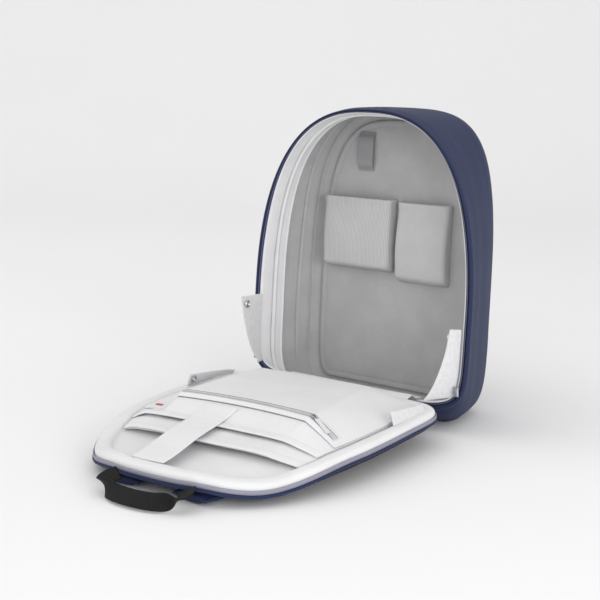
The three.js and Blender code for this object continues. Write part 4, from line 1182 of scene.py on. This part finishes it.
def pocket_surface(layer, a, u):
    """The cloth of a pocket. The zip pocket is shut: the sleeve below it comes up to meet its mouth."""
    mouth, near, far, dip = POCKETS[layer]
    end = (mouth + dip * a * a) * PANEL_LENGTH
    share = (u - START) / (end - START)
    x = a * floor_half(u)
    low = lining_floor(u, x) + 0.5 + layer * (SHEET + LAYER_GAP) + SHEET
    shape = box_rise(a, u) if layer == 3 else rise_at(a)
    lift = (near + (far - near) * share) * shape * smooth(u, START - 4, START + 13)
    if layer == 3:
        lift = lift - 3.2 * box_rise(a, u) * smooth(u, end - 5, end)
    if layer == 2:
        z = zip_end(a)
        meets = smooth(u, z - 50, z - 7) * (1 - smooth(u, z + 1, z + 0.93 * (end - z)))
        lift = lift + (20.7 * box_rise(a, u) - 10.9 * shape) * meets
    return np.stack([x, -u, low + lift], -1)


def pocket_piece(layer, name, node, seed, held="stretched"):
    rows, cols = 110, 150
    mouth, near, far, dip = POCKETS[layer]
    a = np.linspace(-1, 1, cols)[None] * np.ones((rows, 1))
    end = (mouth + dip * a * a) * PANEL_LENGTH
    t = np.linspace(0, 1, rows)[:, None]
    u = START + (end - START) * t
    P = pocket_surface(layer, a, u)
    n = facing_of(P, [0, 0, 1], False)
    inside = np.sin(np.pi * np.clip((a + 1) / 2, 0, 1)) ** 0.6
    soft = fbm(P * [1, 0.6, 1], 46, 3, seed) * 0.8 * inside * smooth(t, 0, 0.15)
    creases = -np.abs(fbm(P * [0.7, 1, 1], 30, 2, seed + 5)) * 0.4 * inside
    calm = 1 - 0.75 * smooth(t, 0.93, 1)
    if layer >= 2:
        calm = calm * (1 - 0.85 * bump(u, zip_end(a), 22))
    P = P + n * ((soft + creases) * calm)[..., None]
    thick = np.full(P.shape[:2], 1.5)
    if layer < 3:
        thick += 1.1 * smooth(t, 0.958, 0.968) - 0.5 * bump(t, 0.955, 0.004)
    obj = cloth(name, on_panel(P), thick, [0, 0, 1], PALE, seat=0.3)
    dress(obj, [node], sheet=held)
    return P, n, a, u


def sewn(name, P, n, row, lift, material=THREAD_PALE, first=2, last=-2, **how):
    """A row of stitches along one row of a grid of cloth."""
    obj = stitches(name, on_panel(P[row, first:last]), on_panel(n[row, first:last]) - on_panel(np.zeros(3)),
                   material,
                   pitch=3.4, length=2.4, radius=0.3, lift=lift, **how)
    return dress(obj, [])


for layer, (name, node, seed) in enumerate((
        ("sleeve_large", "laptop_pocket", 81), ("sleeve_middle", "tablet_pocket", 83),
        ("sleeve_small", "phone_pocket", 87),
        ("front_pocket", "zip_pocket", 91))):
    P, n, a, u = pocket_piece(layer, name, node, seed)
    if layer < 3:
        sewn(f"{name}_stitches", P, n, 105, 0.45)
    else:
        sewn(f"{name}_stitches", P, n, 98, 0.45, first=24, last=-4)

# The zip of the front pocket: two tapes, its teeth, two dark lines painted as the shade in the gap of its teeth, a
# slider and a cloth pull.
ZIP_BACK = 11.5
zip_a = np.r_[np.linspace(-0.66, 0.5, 60), np.linspace(0.51, 0.94, 50)]


def zip_line(a, lift, back=ZIP_BACK):
    u = zip_end(a) - back
    return pocket_surface(3, a, u) + [0, 0, lift]


def zip_strip(name, back0, back1, lift, thick, material):
    rows = [zip_line(zip_a, lift, b) for b in np.linspace(back0, back1, 7)]
    return cloth(name, on_panel(np.array(rows)), thick, [0, 0, 1], material, seat=0.5)


tape = zip_strip("pocket_zip", ZIP_BACK + 5.0, ZIP_BACK - 5.0, 1.0, 0.9, PALE_TAPE)
del tape["area"]
dress(tape, ["pocket_zipper"])
# Dark grey for the two lines along the pocket zip: painted shade of its gap.
ZIP_GAP_SHADE = plastic("zip_gap_shade", srgb(96, 96, 104), 0.4)
zt = zip_line(zip_a, 1.75)
up = np.tile([0.0, 0, 1], (len(zt), 1))
ac = np.tile([0.0, 1, 0], (len(zt), 1))
dress(teeth("pocket_zip_pale_teeth", on_panel(zt), up, ac, PALE_TAPE, 1.6), [])
for word, back in (("near", ZIP_BACK + 4.4), ("far", ZIP_BACK - 4.4)):
    edge = through(on_panel(zip_line(zip_a[::4], 1.35, back)), 120)
    loops = []
    along, side, upward = frames_along(edge, lambda s: (0, 1, 0))
    for k in range(len(edge)):
        ring = ring_section(1.1, 0.9, 8, 2.0)
        loops.append(edge[k] + ring[:, :1] * side[k] + ring[:, 1:] * upward[k])
    dress(tube(f"pocket_zip_edge_{word}", loops, ZIP_GAP_SHADE), [])


def slope_frame(a, lift):
    """A place on the zip's line with the directions along it, across it and off the cloth."""
    here = on_panel(zip_line(np.array(a), lift))
    along = on_panel(zip_line(np.array(a + 0.03), lift)) - here
    along /= np.linalg.norm(along)
    across = on_panel(zip_line(np.array(a), lift, ZIP_BACK - 2)) - here
    across -= along * (across @ along)
    across /= np.linalg.norm(across)
    off = np.cross(along, across)
    return here, along, across, off * np.sign(off[2])


def slider_piece(name, node, here, along, across, off, size):
    """A zip slider: a body that narrows to its back, with a bridge over it."""
    length, width, height = size
    loops = []
    for s, w, low, high in ((0, 0.5, 0.0, 0.45), (0.04, 0.72, 0.0, 0.62), (0.3, 1.0, 0.0, 0.7),
                            (0.62, 1.0, 0.0, 0.7),
                            (0.92, 0.86, 0.0, 0.62), (1.0, 0.6, 0.05, 0.4)):
        ring = ring_section(width * w, height * (high - low), 20, 3.4)
        centre = here + along * (s * length) + off * (height * (low + high) / 2)
        loops.append(centre + ring[:, :1] * across + ring[:, 1:] * off)
    body = tube(name, loops, STEEL)
    arc = []
    for k in np.linspace(0, math.pi, 12):
        centre = here + along * (length * (0.5 - 0.32 * math.cos(k))) + off * (height * (0.62 + 0.5 * math.sin(k)))
        ring = ring_section(width * 0.34, 1.1, 12, 2.4)
        direction = along * math.sin(k) + off * math.cos(k)
        thin = np.cross(across, direction)
        arc.append(centre + ring[:, :1] * across + ring[:, 1:] * thin)
    bridge = tube(f"{name}_bridge", arc, STEEL)
    dress(body, [node])
    return dress(bridge, [])


here, along, across, off = slope_frame(0.66, 2.0)
slider_piece("front_slider", "zip_slider", here, along, across, off, (10, 7.5, 3.4))
pull_line = [on_panel(zip_line(np.array(a), 2.8, ZIP_BACK - b)) for a,
             b in ((0.715, 0.0), (0.75, 1.0), (0.79, 2.0), (0.83, 3.0), (0.872, 4.0))]
pull = strap("front_pull", pull_line, lambda s: tuple(across), 6.4,
             lambda s: 1.7 + 0.5 * float(smooth(s, 0.8, 0.9)), PALE_EDGE, n=50, section=24,
             power=6)
dress(pull, ["zip_pull"])


def strap_line():
    rows = [(0.965, float(rim_at(0.965 * PANEL_LENGTH)) + 0.4), (0.92, float(rim_at(0.92 * PANEL_LENGTH)) + 1.6),
            (0.76, float(pocket_surface(1, np.array(0.0), np.array(0.76 * PANEL_LENGTH))[2]) + 5.0),
            (0.66, float(pocket_surface(2, np.array(0.0), np.array(0.65 * PANEL_LENGTH))[2]) + 0.3),
            (0.61, float(pocket_surface(2, np.array(0.0), np.array(0.61 * PANEL_LENGTH))[2])),
            (0.565, float(pocket_surface(2, np.array(0.0), np.array(0.565 * PANEL_LENGTH))[2]))]
    return [[-27 + 13 * float(smooth(al, 0.6, 0.97)), -al * PANEL_LENGTH, z + 1.6] for al, z in rows]


hold = strap("device_strap", [on_panel(p) for p in strap_line()], lambda s: (1, 0, 0), 48,
             lambda s: 2.0 + 0.9 * float(smooth(s, 0.8, 0.815)),
             PALE, n=120, section=36, power=9)
dress(hold, ["laptop_strap"], sheet="stretched")


# Wings of the panel

def panel_wing_point(side, row, col):
    u = 34 + 94 * row
    rise = 6 + 11 * row
    x = floor_half(u) + PAD_RIM * 0.5 - 5 * col
    return np.stack([side * x, -u, rim_at(u) + 0.6 + rise * col], -1)


for side, word in ((-1, "left"), (1, "right")):
    r, c = np.meshgrid(np.linspace(0, 1, 50), np.linspace(0, 1, 16), indexing="ij")
    P = panel_wing_point(side, r, c)
    n = facing_of(P, [-side, 0, 0], False)
    P = P + n * (fbm(P, 22, 3, 60 + side) * 0.8 * c)[..., None]
    obj = cloth(f"flap_{word}", on_panel(P), 1.9, [-side, 0, 0.2], FELT)
    dress(obj, [f"panel_wing_{word}"], sheet="hung")
    here = panel_wing_point(side, np.array(0.92), np.array(0.6))
    g = np.cross(panel_wing_point(side, np.array(0.92), np.array(0.65)) - here,
                 panel_wing_point(side, np.array(0.97), np.array(0.6)) - here)
    g /= np.linalg.norm(g)
    if g[0] * -side < 0:
        g = -g
    place, tip = on_panel(here + g * 1.5), on_panel(here + g * 2.5)
    snap_piece(f"flap_snap_{word}", f"panel_snap_{word}", place, tip - place)


# Fabric hinge

HINGE_HALF = 112.0


def hinge_piece(name, node, path, material, seed):
    f = pchip(np.linspace(0, 1, len(path)), np.array(path, float))
    r, c = np.meshgrid(np.linspace(0, 1, 40), np.linspace(-1, 1, 90), indexing="ij")
    row = f(r)
    x = c * HINGE_HALF
    P = np.stack([x, row[..., 0] + row[..., 2] * x * math.sin(PANEL_YAW), row[..., 1]], -1)
    P[..., 2] += fbm(P * [0.5, 1, 1], 26, 3, seed) * 0.9 * np.sin(np.pi * r)
    obj = cloth(name, P, 2.0, [0, 0, 1], material)
    return dress(obj, [node], sheet="hung")


inset = 6 + 6 + 0.3
foot = shell_loop(0, inset)[0]
cover = shell_loop(0, 0)[0]
hinge_end = RIM_Y - HINGE_GAP
hinge_piece("hinge_inner", "hinge_lining", [(foot[1] + 6, foot[2] + 2, 0), (foot[1] - 6, foot[2] + 3.5, 0),
                                            (RIM_Y - HINGE_GAP * 0.5, foot[2] + 9, 0.5),
                                            (hinge_end + 0.5, RIM_HINGE - 3.6, 1)], PALE, 41)
hinge_piece("hinge_outer", "hinge_cover",
            [(cover[1] - 5.5, cover[2] + 2, 0), (RIM_Y - HINGE_GAP * 0.35, cover[2] - 2, 0.3),
                                           (RIM_Y - HINGE_GAP * 0.65, cover[2] + 1, 0.7),
                                           (hinge_end + 3.5, float(board_under(0)) + 2, 1)], NAVY, 43)


# The folded tag on the left side of the panel, smaller than its CAD solid
tag_low, tag_high = (np.array(corner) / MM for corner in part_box("side_tag"))
tag_mid = (tag_low + tag_high) / 2
tag_in = np.array([tag_high[0], tag_mid[1], tag_mid[2]])
tag = strap("edge_tag", [tag_in + [-share * (tag_high[0] - tag_low[0]) * 0.75, 0, -0.4 * share] for share in (0,
                                                                                                              0.35, 0.7, 1)],
            lambda s: (0, 1, 0), (tag_high[1] - tag_low[1]) * 0.55, 1.6, RED, n=24, section=24, power=6)
dress(tag, ["side_tag"])


# CAD pieces that stay, with better materials
for node, mat in (("main_slider_left", STEEL), ("main_slider_right", STEEL)):
    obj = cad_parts[node]
    if not obj.data.materials:
        obj.data.materials.append(mat)
    for s in obj.material_slots:
        s.material = mat


# Floor and light

def make_stage():
    verts, faces = [], []
    path = [(-6.0, 0.0), (2.4, 0.0)]
    for k in range(1, 14):
        a = math.pi / 2 * k / 14
        path.append((2.4 + 1.6 * math.sin(a), 1.6 - 1.6 * math.cos(a)))
    path += [(4.0, 1.6), (4.0, 7.0)]
    turn = Matrix.Rotation(math.radians(37.04), 3, "Z")
    for y, z in path:
        for x in (-8.0, 8.0):
            verts.append(tuple(turn @ Vector((x, y, z))))
    for k in range(len(path) - 1):
        faces.append((2 * k, 2 * k + 1, 2 * k + 3, 2 * k + 2))
    mesh = bpy.data.meshes.new("backdrop")
    mesh.from_pydata(verts, [], faces)
    mesh.polygons.foreach_set("use_smooth", [True] * len(mesh.polygons))
    m, t, sh = nodes_of("paper")
    net = Net(t)
    place = net.node("ShaderNodeTexCoord").outputs["Object"]
    n1 = net.node("ShaderNodeTexNoise", {"Vector": place, "Scale": 3.0, "Detail": 3.0}).outputs[0]
    net.put(sh.inputs["Base Color"], net.mix(n1, (0.86, 0.86, 0.86, 1), (0.88, 0.88, 0.88, 1)))
    sh.inputs["Roughness"].default_value = 0.9
    sh.inputs["Specular IOR Level"].default_value = 0.1
    mesh.materials.append(m)
    obj = bpy.data.objects.new("backdrop", mesh)
    bpy.context.collection.objects.link(obj)
    obj.location.z = -0.0004


def light(name, place, target, size, power, colour=(1, 1, 1)):
    data = bpy.data.lights.new(name, "AREA")
    data.shape, data.size, data.energy, data.color = "DISK", size, power, colour
    obj = bpy.data.objects.new(name, data)
    bpy.context.collection.objects.link(obj)
    obj.location = place
    obj.rotation_euler = (Vector(target) - Vector(place)).to_track_quat("-Z", "Y").to_euler()


make_stage()
world = bpy.data.worlds.new("world")
bpy.context.scene.world = world
world.use_nodes = True
world.node_tree.nodes["Background"].inputs[0].default_value = (1, 1, 1, 1)
world.node_tree.nodes["Background"].inputs[1].default_value = 0.88
light("key", (-1.9, -1.0, 2.8), (0, -0.1, 0.15), 3.4, 16)
light("fill", (0.9, -2.6, 1.4), (0, 0, 0.2), 2.2, 9)
light("side", (2.3, -1.3, 0.5), (0, -0.25, 0.02), 1.6, 22)
bpy.context.scene.view_settings.view_transform = "Standard"
